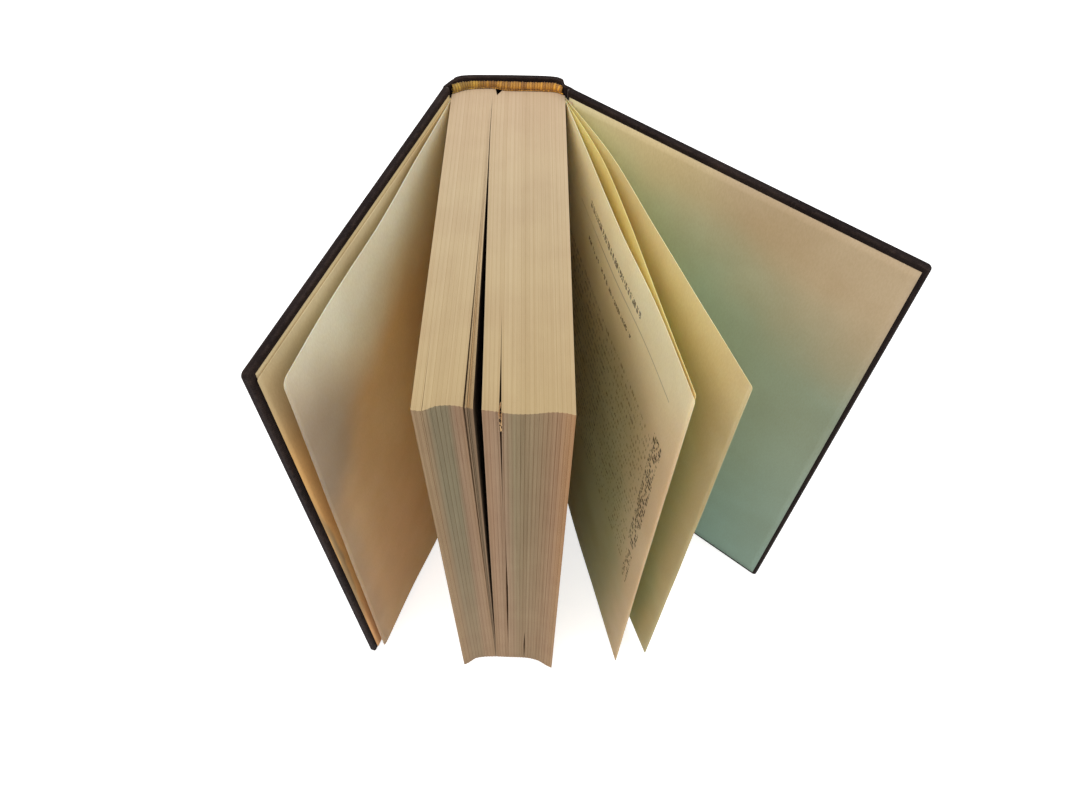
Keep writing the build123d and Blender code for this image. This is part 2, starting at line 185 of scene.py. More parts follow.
class NodeWork:
    """Adds nodes to one shader, shader group or geometry tree and joins them."""

    def __init__(self, tree: bpy.types.NodeTree) -> None:
        """Takes the tree to work on."""
        self.tree = tree

    def feed(self, socket: Socket, value: object) -> None:
        """Links a socket to an input, or sets the input's own value."""
        if isinstance(value, bpy.types.NodeSocket):
            self.tree.links.new(value, socket)
        else:
            socket.default_value = value

    def add(self, kind: str, inputs: dict | None = None, **settings: object) -> bpy.types.Node:
        """Adds a node.

        Args:
            kind: The node's type name.
            inputs: Values or sockets by input name or number.
            settings: Properties of the node.

        Returns:
            The new node.
        """
        node = self.tree.nodes.new(kind)
        for key, value in settings.items():
            setattr(node, key, value)
        for key, value in (inputs or {}).items():
            self.feed(node.inputs[key], value)
        return node

    def first(self, kind: str, inputs: dict | None = None, **settings: object) -> Socket:
        """Adds a node and gives its first output."""
        return self.add(kind, inputs, **settings).outputs[0]

    def math(
        self, operation: str, first: object, second: object = 0.0, third: object = 0.0
    ) -> Socket:
        """Adds a Math node and gives its result."""
        return self.first("ShaderNodeMath", {0: first, 1: second, 2: third}, operation=operation)

    def times(self, *factors: object) -> Socket:
        """Multiplies values."""
        result = factors[0]
        for factor in factors[1:]:
            result = self.math("MULTIPLY", result, factor)
        return result

    def less(self, first: object, second: object) -> Socket:
        """Takes the second value from the first."""
        return self.math("SUBTRACT", first, second)

    def size_of(self, value: object) -> Socket:
        """Gives a value without its sign."""
        return self.math("ABSOLUTE", value)

    def span(
        self, value: object, low: float, high: float, start: float = 0.0, end: float = 1.0
    ) -> Socket:
        """Adds a clamped, smooth Map Range node and gives its result."""
        inputs = {"Value": value, "From Min": low, "From Max": high, "To Min": start, "To Max": end}
        return self.first("ShaderNodeMapRange", inputs, interpolation_type="SMOOTHSTEP")

    def ruler(self, value: object, low: float, high: float) -> Socket:
        """Adds an even, clamped Map Range node from 0 to 1 and gives its result."""
        return self.first("ShaderNodeMapRange", {"Value": value, "From Min": low, "From Max": high})

    def mix(self, share: object, first: object, second: object, way: str = "MIX") -> Socket:
        """Mixes two colours and gives the result."""
        inputs = {0: share, 6: first, 7: second}
        node = self.add("ShaderNodeMix", inputs, data_type="RGBA", blend_type=way)
        return node.outputs[2]

    def clouds(
        self, vector: object, scale: object, detail: float = 2.0, roughness: float = 0.5
    ) -> Socket:
        """Adds a Noise texture and gives its value."""
        inputs = {"Vector": vector, "Scale": scale, "Detail": detail, "Roughness": roughness}
        return self.first("ShaderNodeTexNoise", inputs)

    def ramp(self, value: object, stops: Stops) -> Socket:
        """Adds a Color Ramp with the given stops and gives its colour."""
        node = self.add("ShaderNodeValToRGB", {"Fac": value})
        elements = node.color_ramp.elements
        for element, (place, colour) in zip(list(elements), (stops[0], stops[-1])):
            element.position, element.color = place, tint(*colour)
        for place, colour in stops[1:-1]:
            elements.new(place).color = tint(*colour)
        return node.outputs["Color"]

    def axes(self, vector: object) -> tuple[Socket, ...]:
        """Splits a vector and gives its X, Y and Z."""
        return tuple(self.add("ShaderNodeSeparateXYZ", {0: vector}).outputs)

    def joined(self, x: object, y: object, z: object) -> Socket:
        """Joins three values to a vector."""
        return self.first("ShaderNodeCombineXYZ", {0: x, 1: y, 2: z})

    def stretched(
        self, vector: object, scale: tuple[float, float, float], turn: float = 0.0
    ) -> Socket:
        """Turns a vector back about Z by an angle in radians and divides it by a scale."""
        inputs = {"Vector": vector, "Rotation": (0.0, 0.0, turn), "Scale": scale}
        return self.first("ShaderNodeMapping", inputs, vector_type="TEXTURE")

    def bump(self, height: object, strength: float, distance: float) -> Socket:
        """Adds a Bump node and gives its normal."""
        inputs = {"Height": height, "Strength": strength, "Distance": distance}
        return self.first("ShaderNodeBump", inputs)

    def normal(self) -> Socket:
        """Gives the direction that the surface faces."""
        return self.add("ShaderNodeNewGeometry").outputs["Normal"]

    def attribute(self, name: str) -> Socket:
        """Gives the value of one of the piece's own attributes."""
        return self.add("ShaderNodeAttribute", attribute_name=name).outputs["Fac"]

    def seen(self) -> Socket:
        """Gives 1 where a ray looks at a thing, straight, mirrored or through glass, else 0."""
        path = self.add("ShaderNodeLightPath").outputs
        direct = self.math("MAXIMUM", path["Is Camera Ray"], path["Is Glossy Ray"])
        return self.math("MAXIMUM", direct, path["Is Transmission Ray"])


def node_group(
    name: str, inputs: dict[str, object], outputs: Sequence[str], kind: str = "Shader"
) -> tuple[NodeWork, bpy.types.bpy_prop_collection, bpy.types.bpy_prop_collection]:
    """Makes an empty node group with named sockets.

    Args:
        name: The group's name.
        inputs: For each input its default number, or the kind of its socket where it has none.
        outputs: The names of its outputs, which are values in a shader tree and else geometry.
        kind: The kind of tree, Shader or Geometry.

    Returns:
        The group's node work, its inputs to read from and its outputs to feed.
    """
    group = bpy.data.node_groups.new(name, f"{kind}NodeTree")
    flow = "Float" if kind == "Shader" else kind
    ports = [(port, value, "INPUT") for port, value in inputs.items()]
    for port, value, way in ports + [(port, flow, "OUTPUT") for port in outputs]:
        number = not isinstance(value, str)
        sort = ("Int" if isinstance(value, int) else "Float") if number else value
        socket = group.interface.new_socket(name=port, in_out=way, socket_type="NodeSocket" + sort)
        if number:
            socket.default_value = value
    work = NodeWork(group)
    return work, work.add("NodeGroupInput").outputs, work.add("NodeGroupOutput").inputs


class SharedEffects:
    """The effects that more than one finish uses, each a shader node group built once."""

    def __init__(self) -> None:
        """Builds the groups."""
        self.fibre = self.make_fibre()
        self.weave = self.make_weave()
        self.edge_wear = self.make_edge_wear()
        self.dust = self.make_dust()

    @staticmethod
    def make_fibre() -> bpy.types.NodeTree:
        """Makes the paper effect: soft clouds of tone, and fine fibres as tone and height."""
        inputs = {"Vector": "Vector", "Cloud Scale": 45.0, "Fibre Scale": 2600.0}
        work, start, end = node_group("paper_fibre", inputs, ("Clouds", "Fibres", "Height"))
        clouds = work.clouds(start["Vector"], start["Cloud Scale"], 3.0, 0.55)
        long_fibres = work.stretched(start["Vector"], (1.0, 1.0, 3.0))
        fibres = work.clouds(long_fibres, start["Fibre Scale"], 3.0, 0.6)
        work.feed(end["Clouds"], work.span(clouds, 0.32, 0.68))
        work.feed(end["Fibres"], work.span(fibres, 0.3, 0.7))
        work.feed(end["Height"], fibres)
        return work.tree

    @staticmethod
    def make_weave() -> bpy.types.NodeTree:
        """Makes the book cloth effect: a weave of uneven threads, and a mask of pale threads."""
        inputs = {"Vector": "Vector", "Threads per Metre": 2300.0}
        work, start, end = node_group("cloth_weave", inputs, ("Height", "Thread"))
        wobble = work.clouds(start["Vector"], 260.0)
        x, y, z = work.axes(start["Vector"])
        waves, slubs = [], []
        for across, long in ((x, (1.0, 1.0, 14.0)), (z, (14.0, 14.0, 1.0))):
            line = work.times(work.math("ADD", across, y), start["Threads per Metre"])
            shifted = work.math("MULTIPLY_ADD", wobble, 2.2, line)
            waves.append(work.math("SINE", work.times(shifted, math.pi)))
            slubs.append(work.clouds(work.stretched(start["Vector"], long), 2400.0, 1.0))
        rounded = work.times(*(work.size_of(wave) for wave in waves))
        work.feed(end["Height"], work.math("MULTIPLY_ADD", work.times(*waves), 0.35, rounded))
        pale = work.span(work.math("MAXIMUM", *slubs), 0.56, 0.74)
        work.feed(end["Thread"], work.times(pale, rounded))
        return work.tree

    @staticmethod
    def make_edge_wear() -> bpy.types.NodeTree:
        """Makes the wear effect: a broken mask along the piece's sharp edges."""
        inputs = {"Vector": "Vector", "Radius": 0.8 * MM, "Break Scale": 300.0}
        work, start, end = node_group("edge_wear", inputs, ("Mask",))
        bevel = work.first("ShaderNodeBevel", {"Radius": start["Radius"]}, samples=4)
        pair = {0: bevel, 1: work.normal()}
        facing = work.add("ShaderNodeVectorMath", pair, operation="DOT_PRODUCT")
        breaks = work.clouds(start["Vector"], start["Break Scale"], 4.0, 0.65)
        edge = work.span(facing.outputs["Value"], 1.0, 0.86)
        work.feed(end["Mask"], work.times(edge, work.span(breaks, 0.35, 0.62)))
        return work.tree

    @staticmethod
    def make_dust() -> bpy.types.NodeTree:
        """Makes the dust effect: a mask of fine specks that lies thickest on faces that look up."""
        work, start, end = node_group("dust", {"Vector": "Vector", "Speck Scale": 900.0}, ("Mask",))
        specks = work.clouds(start["Vector"], start["Speck Scale"], 4.0, 0.7)
        up = work.span(work.axes(work.normal())[2], -0.4, 0.9, 0.25, 1.0)
        work.feed(end["Mask"], work.times(work.span(specks, 0.52, 0.75), up))
        return work.tree


class Surface(NodeWork):
    """The node work of one new material."""

    def __init__(self, name: str) -> None:
        """Makes the material, with its shader and its object coordinates."""
        self.material = bpy.data.materials.new(name)
        self.material.use_nodes = True
        super().__init__(self.material.node_tree)
        self.shader = self.tree.nodes["Principled BSDF"]
        self.place = self.add("ShaderNodeTexCoord").outputs["Object"]

    def effect(
        self, group: bpy.types.NodeTree, vector: Socket | None = None, **inputs: float
    ) -> bpy.types.bpy_prop_collection:
        """Places a shared effect with its own values, whose names have _ for a space."""
        node = self.add("ShaderNodeGroup", node_tree=group)
        for key, value in dict(inputs, Vector=vector or self.place).items():
            self.feed(node.inputs[key.replace("_", " ")], value)
        return node.outputs

    def multiply(
        self, colour: Socket, share: float, mask: Socket, low: Screen, high: Screen
    ) -> Socket:
        """Multiplies a colour, by a share, with one that a mask leads from low to high."""
        return self.mix(share, colour, self.mix(mask, tint(*low), tint(*high)), "MULTIPLY")

    def done(self, colour: Socket, rough: Socket, normal: Socket, **plain: object) -> Material:
        """Feeds the shader.

        Args:
            colour: The base colour.
            rough: The roughness.
            normal: The normal.
            plain: Plain values of other inputs, whose names have _ for a space.

        Returns:
            The material.
        """
        self.feed(self.shader.inputs["Base Color"], colour)
        self.feed(self.shader.inputs["Roughness"], rough)
        self.feed(self.shader.inputs["Normal"], normal)
        for key, value in plain.items():
            self.shader.inputs[key.replace("_", " ")].default_value = value
        return self.material


class Finish:
    """What every finish shares."""

    effects: SharedEffects


@dataclass(frozen=True)
class PageEdges(Finish):
    """The cut edges of the pages: fine lines from leaf to leaf, toned along head and fore-edge.

    Attributes:
        name: The material's name.
        head: The colours of the head from the spine to the fore-edge.
        fore: The colours across the fore-edge, darker than the head's partly as painted shade.
        foot: The colour that the fore-edge takes on towards its tail.
        frayed: The colours of the frayed leaves beside the gap, at the fore-edge (partly painted
            shade) and at the head.
        wall: The painted shade on the faces of the leaves that line the gap.
        outer: The colour of the outermost pages' faces.
    """

    name: str = "page_edges"
    head: Stops = ((0.0, (216, 192, 160)), (0.4, (207, 186, 152)), (1.0, (198, 175, 134)))
    fore: Stops = (
        (0.0, (172, 146, 114)), (0.07, (166, 142, 112)), (0.12, (148, 138, 112)),
        (0.21, (148, 138, 112)), (0.26, (170, 142, 116)), (0.34, (176, 146, 116)),
        (0.44, (180, 148, 120)), (0.55, (172, 146, 120)), (0.62, (162, 146, 116)),
        (0.78, (168, 146, 116)), (0.9, (176, 144, 114)), (1.0, (186, 144, 104)),
    )
    foot: Screen = (190, 162, 132)
    frayed: tuple[Screen, Screen] = ((124, 112, 90), (206, 158, 104))
    wall: Screen = (84, 74, 60)
    outer: Screen = (226, 202, 156)

    def build(self) -> Material:
        """Makes the material."""
        work = Surface(self.name)
        x, y, z = work.axes(work.place)
        fibre = work.effect(self.effects.fibre, Cloud_Scale=55.0, Fibre_Scale=3000.0)
        head = work.ramp(work.ruler(y, -8 * MM, -130 * MM), self.head)
        fore = work.ramp(work.ruler(x, -19.8 * MM, 19.8 * MM), self.fore)
        fore = work.mix(work.times(work.span(z, 0.17, 0.0), 0.6), fore, tint(*self.foot))
        facing = work.axes(work.normal())
        # Faces that look up take the head's colours and the rest take the fore-edge's, which are
        # darker partly as painted shade.
        upward = work.span(facing[2], 0.2, 0.8)
        colour = work.mix(upward, fore, head)
        dark = work.mix(upward, tint(206, 194, 180), tint(234, 228, 218))
        lines = work.mix(work.span(work.attribute("leaf_tone"), 0.0, 1.0), dark, WHITE)
        colour = work.mix(1.0, colour, lines, "MULTIPLY")
        worn = work.attribute("worn")
        frayed = work.times(worn, work.span(y, -30 * MM, -125 * MM, 0.0, 0.6))
        # Frayed leaves take a pale head colour where they look up and a darker fore-edge colour
        # elsewhere, partly painted shade.
        worn_colour = work.mix(upward, *(tint(*shade) for shade in self.frayed))
        colour = work.mix(frayed, colour, worn_colour)
        # Painted shade: the sideways faces of the leaves in the gap are darkened, because the deep
        # gap lies in shade.
        sideways = work.span(work.size_of(facing[0]), 0.5, 0.9)
        wall = work.times(sideways, work.span(worn, 0.0, 0.2))
        colour = work.mix(wall, colour, tint(*self.wall))
        outer = work.times(work.span(work.size_of(x), 16.5 * MM, 18 * MM), sideways)
        colour = work.mix(outer, colour, tint(*self.outer))
        colour = work.multiply(colour, 0.35, fibre["Clouds"], (238, 230, 226), (255, 255, 250))
        rough = work.span(fibre["Fibres"], 0.0, 1.0, 0.82, 0.95)
        normal = work.bump(fibre["Height"], 0.25, FIBRE_RELIEF)
        return work.done(colour, rough, normal, Specular_IOR_Level=0.2)


@dataclass(frozen=True)
class Field:
    """A soft patch of colour on a sheet; most of them here are painted light and painted shade.

    Attributes:
        colour: Its colour.
        centre: Its middle as shares across and up the sheet.
        reach: How far it reaches each way, as such shares.
        share: How much of the colour it gives at its middle.
        turn: Its turn in degrees.
        core: The share of its reach within which it is full.
    """

    colour: Screen
    centre: tuple[float, float]
    reach: tuple[float, float]
    share: float = 0.9
    turn: float = 0.0
    core: float = 0.3

    def over(self, work: NodeWork, colour: Socket, across: Socket, up: Socket) -> Socket:
        """Lays the patch over a colour.

        Args:
            work: The material's node work.
            colour: The colour below.
            across: The share across the sheet.
            up: The share up the sheet.

        Returns:
            The mixed colour.
        """
        cosine, sine = math.cos(math.radians(self.turn)), math.sin(math.radians(self.turn))
        x, y = work.less(across, self.centre[0]), work.less(up, self.centre[1])
        wide, tall = self.reach
        along = work.math("MULTIPLY_ADD", x, cosine / wide, work.times(y, sine / wide))
        aside = work.math("MULTIPLY_ADD", y, cosine / tall, work.times(x, -sine / tall))
        offset = work.joined(along, aside, 0.0)
        away = work.add("ShaderNodeVectorMath", {0: offset}, operation="LENGTH")
        share = work.span(away.outputs["Value"], 1.0, self.core, 0.0, self.share)
        return work.mix(share, colour, tint(*self.colour))


@dataclass(frozen=True)
class MarkRows:
    """Rows of small dark marks that stand for print.

    Attributes:
        across: Where the rows begin and end, as shares across the sheet.
        up: Where the lowest and highest row are, as shares up the sheet.
        rows: How many rows there are.
        slope: How far a row rises from its start to its end, as a share up the sheet.
        tall: The share of a row's pitch that its marks fill.
        marks: How many marks would fit side by side across the sheet.
        fill: The share of the row that is inked.
        ink: How dark the marks are.
        seed: Tells one block's marks from another's.
    """

    across: tuple[float, float]
    up: tuple[float, float]
    rows: int
    slope: float
    tall: float
    marks: float
    fill: float
    ink: float
    seed: float

    def mask(self, work: NodeWork, across: Socket, up: Socket) -> Socket:
        """Adds the nodes that draw the marks.

        Args:
            work: The material's node work.
            across: The share across the sheet.
            up: The share up the sheet.

        Returns:
            The mask of ink.
        """
        (start, end), (low, high) = self.across, self.up
        lean = work.times(work.less(across, start), self.slope / (end - start))
        row = work.times(work.less(work.less(up, lean), low), self.rows / (high - low))
        limits = ((row, 0.0, self.rows), (across, start, end))
        inside = [
            work.math(way, value, limit)
            for value, least, most in limits
            for way, limit in (("GREATER_THAN", least), ("LESS_THAN", most))
        ]
        off_middle = work.size_of(work.less(work.math("FRACT", row), 0.5))
        line = work.math("MULTIPLY_ADD", work.math("FLOOR", row), 7.3, self.seed)
        shape = work.clouds(work.joined(work.times(across, self.marks), line, 0.0), 1.3, 0.0)
        fine_across, fine_up = work.times(across, self.marks * 2.1), work.times(row, 2.2)
        finer = work.joined(fine_across, fine_up, self.seed + 4.0)
        stroke = work.span(work.clouds(finer, 1.0, 1.0), 0.38, 0.5)
        tall_here = work.math("MULTIPLY_ADD", shape, 0.35, self.tall / 2 - 0.17)
        strip = work.span(work.less(tall_here, off_middle), -0.03, 0.05)
        cut = 0.68 - 0.36 * self.fill
        inked = work.span(shape, cut - 0.04, cut + 0.04)
        return work.times(strip, inked, stroke, *inside, self.ink)


@dataclass(frozen=True)
class LeafPaper(Finish):
    """A sheet's face: a blend from fold to edge, soft fields of colour, and print on one side.

    Attributes:
        name: The material's name.
        gutter: The colour by the fold, in some sheets made paler as painted light against the
            fold's shade.
        middle: The colour half way out.
        edge: The colour at the fore-edge.
        fields: Soft patches of colour over it, most of them painted light and painted shade.
        thin: How much light a thin leaf lets through, from 0 to 1.
        print_rows: The blocks of marks on its inner side.
        ink: The colour of the marks.
    """

    name: str
    gutter: Screen
    middle: Screen
    edge: Screen
    fields: tuple[Field, ...]
    thin: float = 0.0
    print_rows: tuple[MarkRows, ...] = ()
    ink: Screen = (58, 52, 44)

    def build(self) -> Material:
        """Makes the material."""
        work = Surface(self.name)
        across, up, _ = work.axes(work.first("ShaderNodeUVMap", uv_map="sheet"))
        fibre = work.effect(self.effects.fibre, Cloud_Scale=30.0, Fibre_Scale=2200.0)
        wander = work.math("MULTIPLY_ADD", work.clouds(work.place, 22.0), 0.12, -0.06)
        wavy = [work.math("ADD", way, wander) for way in (across, up)]
        colour = work.ramp(across, ((0.0, self.gutter), (0.5, self.middle), (1.0, self.edge)))
        for field in self.fields:
            colour = field.over(work, colour, *wavy)
        colour = work.multiply(colour, 0.6, fibre["Clouds"], (240, 234, 224), (255, 255, 252))
        colour = work.multiply(colour, 0.5, fibre["Fibres"], (240, 236, 228), (255, 255, 255))
        for rows in self.print_rows:
            inner = work.math("GREATER_THAN", work.attribute("inner_face"), 0.99)
            inked = work.times(rows.mask(work, across, up), inner)
            colour = work.mix(inked, colour, tint(*self.ink))
        return work.done(
            colour,
            work.span(fibre["Fibres"], 0.0, 1.0, 0.74, 0.9),
            work.bump(fibre["Height"], 0.2, FIBRE_RELIEF),
            Specular_IOR_Level=0.2,
            Subsurface_Weight=self.thin,
            Subsurface_Radius=(1.0, 0.75, 0.45),
            Subsurface_Scale=0.4 * MM,
        )


@dataclass(frozen=True)
class BookCloth(Finish):
    """Very dark woven cloth, rubbed pale along its edges.

    Attributes:
        name: The material's name.
        turn: The angle about Z in degrees that lays the weave along the piece.
    """

    name: str
    turn: float = 0.0

    def build(self) -> Material:
        """Makes the material."""
        work = Surface(self.name)
        along = work.stretched(work.place, (1.0, 1.0, 1.0), math.radians(self.turn))
        weave = work.effect(self.effects.weave, along, Threads_per_Metre=2300.0)
        wear = work.effect(self.effects.edge_wear, Radius=0.9 * MM, Break_Scale=420.0)
        dust = work.effect(self.effects.dust, Speck_Scale=1100.0)
        clouds = work.span(work.clouds(work.place, 38.0, 4.0, 0.6), 0.3, 0.7)
        colour = work.mix(clouds, tint(29, 22, 22), tint(42, 33, 31))
        layers = (
            (weave["Thread"], 0.4, (74, 61, 56)),
            (wear["Mask"], 0.4, (92, 75, 66)),
            (dust["Mask"], 0.05, (150, 138, 124)),
        )
        for mask, share, shade in layers:
            colour = work.mix(work.times(mask, share), colour, tint(*shade))
        rough = work.span(weave["Height"], 0.0, 1.2, 0.88, 0.62)
        normal = work.bump(weave["Height"], 0.55, 0.12 * MM)
        return work.done(colour, rough, normal, Specular_IOR_Level=0.08)


@dataclass(frozen=True)
class BandThread(Finish):
    """Ochre silk over a roll, with stitches that differ a little in colour.

    Attributes:
        name: The material's name.
        thread: The colours from the front to the back of the spine; the back end is paler as
            painted light, against the shade of the joint.
    """

    name: str = "band_thread"
    thread: Stops = (
        # The last stop is paler as painted light, where the joint shades the band's end.
        (0.0, (196, 160, 54)), (0.25, (200, 144, 44)), (0.8, (206, 146, 46)), (1.0, (238, 170, 44)),
    )

    def build(self) -> Material:
        """Makes the material."""
        work = Surface(self.name)
        along = work.span(work.axes(work.place)[0], -18.5 * MM, 18.5 * MM)
        stripe = work.span(work.attribute("stripe"), 0.0, 1.0)
        colour = work.ramp(along, self.thread)
        colour = work.multiply(colour, 1.0, stripe, (182, 168, 128), (255, 252, 236))
        fibre = work.clouds(work.stretched(work.place, (1.0, 3.0, 3.0)), 9000.0)
        colour = work.mix(work.span(fibre, 0.3, 0.7, 0.0, 0.3), colour, tint(120, 78, 30))
        rough = work.span(fibre, 0.2, 0.8, 0.42, 0.62)
        return work.done(colour, rough, work.bump(fibre, 0.4, 0.05 * MM), Sheen_Weight=0.2)


@dataclass(frozen=True)
class PlainLayer(Finish):
    """A hidden layer of board, paper or gauze, with its fibres and clouds.

    Attributes:
        name: The material's name.
        pale: Its paler colour.
        dark: Its darker colour.
        mesh_pitch: Threads per metre of an open weave, or 0 for paper and board.
    """

    name: str
    pale: Screen
    dark: Screen
    mesh_pitch: float = 0.0

    def build(self) -> Material:
        """Makes the material."""
        work = Surface(self.name)
        fibre = work.effect(self.effects.fibre, Cloud_Scale=120.0, Fibre_Scale=1800.0)
        colour = work.mix(fibre["Clouds"], tint(*self.dark), tint(*self.pale))
        colour = work.multiply(colour, 0.6, fibre["Fibres"], (205, 200, 190), (255, 255, 255))
        height = fibre["Height"]
        if self.mesh_pitch:
            height = work.effect(self.effects.weave, Threads_per_Metre=self.mesh_pitch)["Height"]
            colour = work.mix(work.span(height, 0.1, 0.6), tint(*self.dark), colour)
        rough = work.span(fibre["Fibres"], 0.0, 1.0, 0.8, 0.95)
        return work.done(colour, rough, work.bump(height, 0.4, FIBRE_RELIEF))


def finished_mesh(
    name: str,
    corners: Sequence[Vector],
    faces: Sequence[Sequence[int]],
    smooth: Sequence[bool],
    material: Material,
    sheet_map: Sequence[tuple[float, float]] = (),
    **attributes: Sequence[float],
) -> Piece:
    """Makes an object from corners and faces.

    Args:
        name: The object's name.
        corners: Its vertices.
        faces: Its faces as vertex numbers.
        smooth: For each face, whether it is shaded smooth.
        material: Its material.
        sheet_map: For each vertex, its place on the piece's own map.
        attributes: Values for each vertex by name.

    Returns:
        The new object, linked to the scene.
    """
    mesh = bpy.data.meshes.new(name)
    mesh.from_pydata([tuple(corner) for corner in corners], [], [tuple(face) for face in faces])
    mesh.polygons.foreach_set("use_smooth", list(smooth))
    mesh.materials.append(material)
    if sheet_map:
        layer = mesh.uv_layers.new(name="sheet")
        for loop in mesh.loops:
            layer.uv[loop.index].vector = sheet_map[loop.vertex_index]
    mesh.update()
    for key, values in attributes.items():
        mesh.attributes.new(key, "FLOAT", "POINT").data.foreach_set("value", values)
    return linked(name, mesh)


def sheet_faces(columns: int, rows: int) -> tuple[list[list[int]], list[bool]]:
    """Gives the faces of a thin closed sheet of two grids, and whether each is smooth."""
    size = columns * rows
    faces = []
    for i in range(columns - 1):
        for j in range(rows - 1):
            here, there = i * rows + j, (i + 1) * rows + j
            quad = [here, there, there + 1, here + 1]
            faces += [quad, [number + size for number in reversed(quad)]]
    smooth = [True] * len(faces)
    ring = [i * rows for i in range(columns)] + [size - rows + j for j in range(1, rows)]
    ring += [i * rows + rows - 1 for i in range(columns - 2, -1, -1)] + list(range(rows - 2, 0, -1))
    steps = zip(ring, ring[1:] + ring[:1])
    faces += [[there, here, here + size, there + size] for here, there in steps]
    return faces, smooth + [False] * len(ring)


@dataclass(frozen=True)
class SheetGrid:
    """A thin closed sheet made from a grid of points on its middle surface.

    Attributes:
        across: The shares across the sheet at which it has points.
        up: The shares up the sheet at which it has points.
        thickness: Its thickness.
        inner_sign: 1 if the sheet's inner side is where across times up points, else -1.
    """

    across: tuple[float, ...]
    up: tuple[float, ...]
    thickness: float
    inner_sign: int = 1

    def build(
        self, name: str, place: Callable[[float, float], Vector], material: Material
    ) -> Piece:
        """Makes the sheet.

        Args:
            name: The piece's name.
            place: Gives a point of the middle surface from its two shares.
            material: The sheet's material.

        Returns:
            The sheet as a closed mesh with a map named sheet.
        """
        columns, rows = len(self.across), len(self.up)
        middle = [[place(a, u) for u in self.up] for a in self.across]
        corners, inner = [], []
        for offset in (0.5, -0.5):
            inner += [float(offset * self.inner_sign > 0)] * (columns * rows)
            for i in range(columns):
                for j in range(rows):
                    along = middle[min(i + 1, columns - 1)][j] - middle[max(i - 1, 0)][j]
                    rise = middle[i][min(j + 1, rows - 1)] - middle[i][max(j - 1, 0)]
                    normal = along.cross(rise).normalized()
                    corners.append(middle[i][j] + normal * (offset * self.thickness))
        places = [(a, u) for a in self.across for u in self.up] * 2
        faces, smooth = sheet_faces(columns, rows)
        return finished_mesh(name, corners, faces, smooth, material, places, inner_face=inner)


def even(count: int) -> tuple[float, ...]:
    """Gives shares from 0 to 1 in even steps."""
    return tuple(step / count for step in range(count + 1))


def with_fine_ends(count: int, fine: float) -> tuple[float, ...]:
    """Gives shares from 0 to 1 with a few close together within a short stretch of each end."""
    start = [0.0, 0.12 * fine, 0.3 * fine, 0.6 * fine, fine]
    inner = [between(fine, 1 - fine, step / count) for step in range(1, count)]
    return tuple(start + inner + [1 - share for share in reversed(start)])


@dataclass(frozen=True)
class Slit:
    """A gap in the fore-edge that runs from its wide end to nothing at its thin end.

    Attributes:
        wide_place: Its place across the fore-edge at the wide end, as a share of half the width.
        wide_width: Its width there, as such a share.
        wide_depth: How deep it reaches in from the fore-edge there.
        wide_height: The height of the wide end.
        thin_place: Its place at the thin end.
        thin_depth: Its depth there.
        thin_height: The height of the thin end.
        spine_place: Its place at the spine, in metres from the middle.
        lens: Whether it closes again at its wide end, and is widest half way.
    """

    wide_place: float
    wide_width: float
    wide_depth: float
    wide_height: float
    thin_place: float
    thin_depth: float
    thin_height: float
    spine_place: float = 0.0
    lens: bool = False

    def share(self, height: float) -> float:
        """Gives how far up towards its wide end a height is, from 0 to 1."""
        return clamp((height - self.thin_height) / (self.wide_height - self.thin_height))

    def opening(self, inset: float, height: float, half: float) -> float:
        """Gives how wide it is at a distance in from the fore-edge and at a height."""
        share = self.share(height)
        if self.lens:
            share = math.sin(math.pi * share)
        depth = between(self.thin_depth, self.wide_depth, share)
        return self.wide_width * half * share * clamp(1 - inset / depth)

    def middle(self, depth_share: float, height: float, half: float, page_depth: float) -> float:
        """Gives its middle across the block at a share of the depth and at a height."""
        share = self.share(height)
        reach = between(self.thin_depth, self.wide_depth, share) / page_depth
        root = between(self.thin_place, self.wide_place, 0.1 * share) * half
        fore = between(self.thin_place, self.wide_place, share) * half
        start = 1 - max(reach, 0.3)
        if depth_share <= start:
            return between(self.spine_place, root, depth_share / start)
        return between(root, fore, (depth_share - start) / (1 - start))


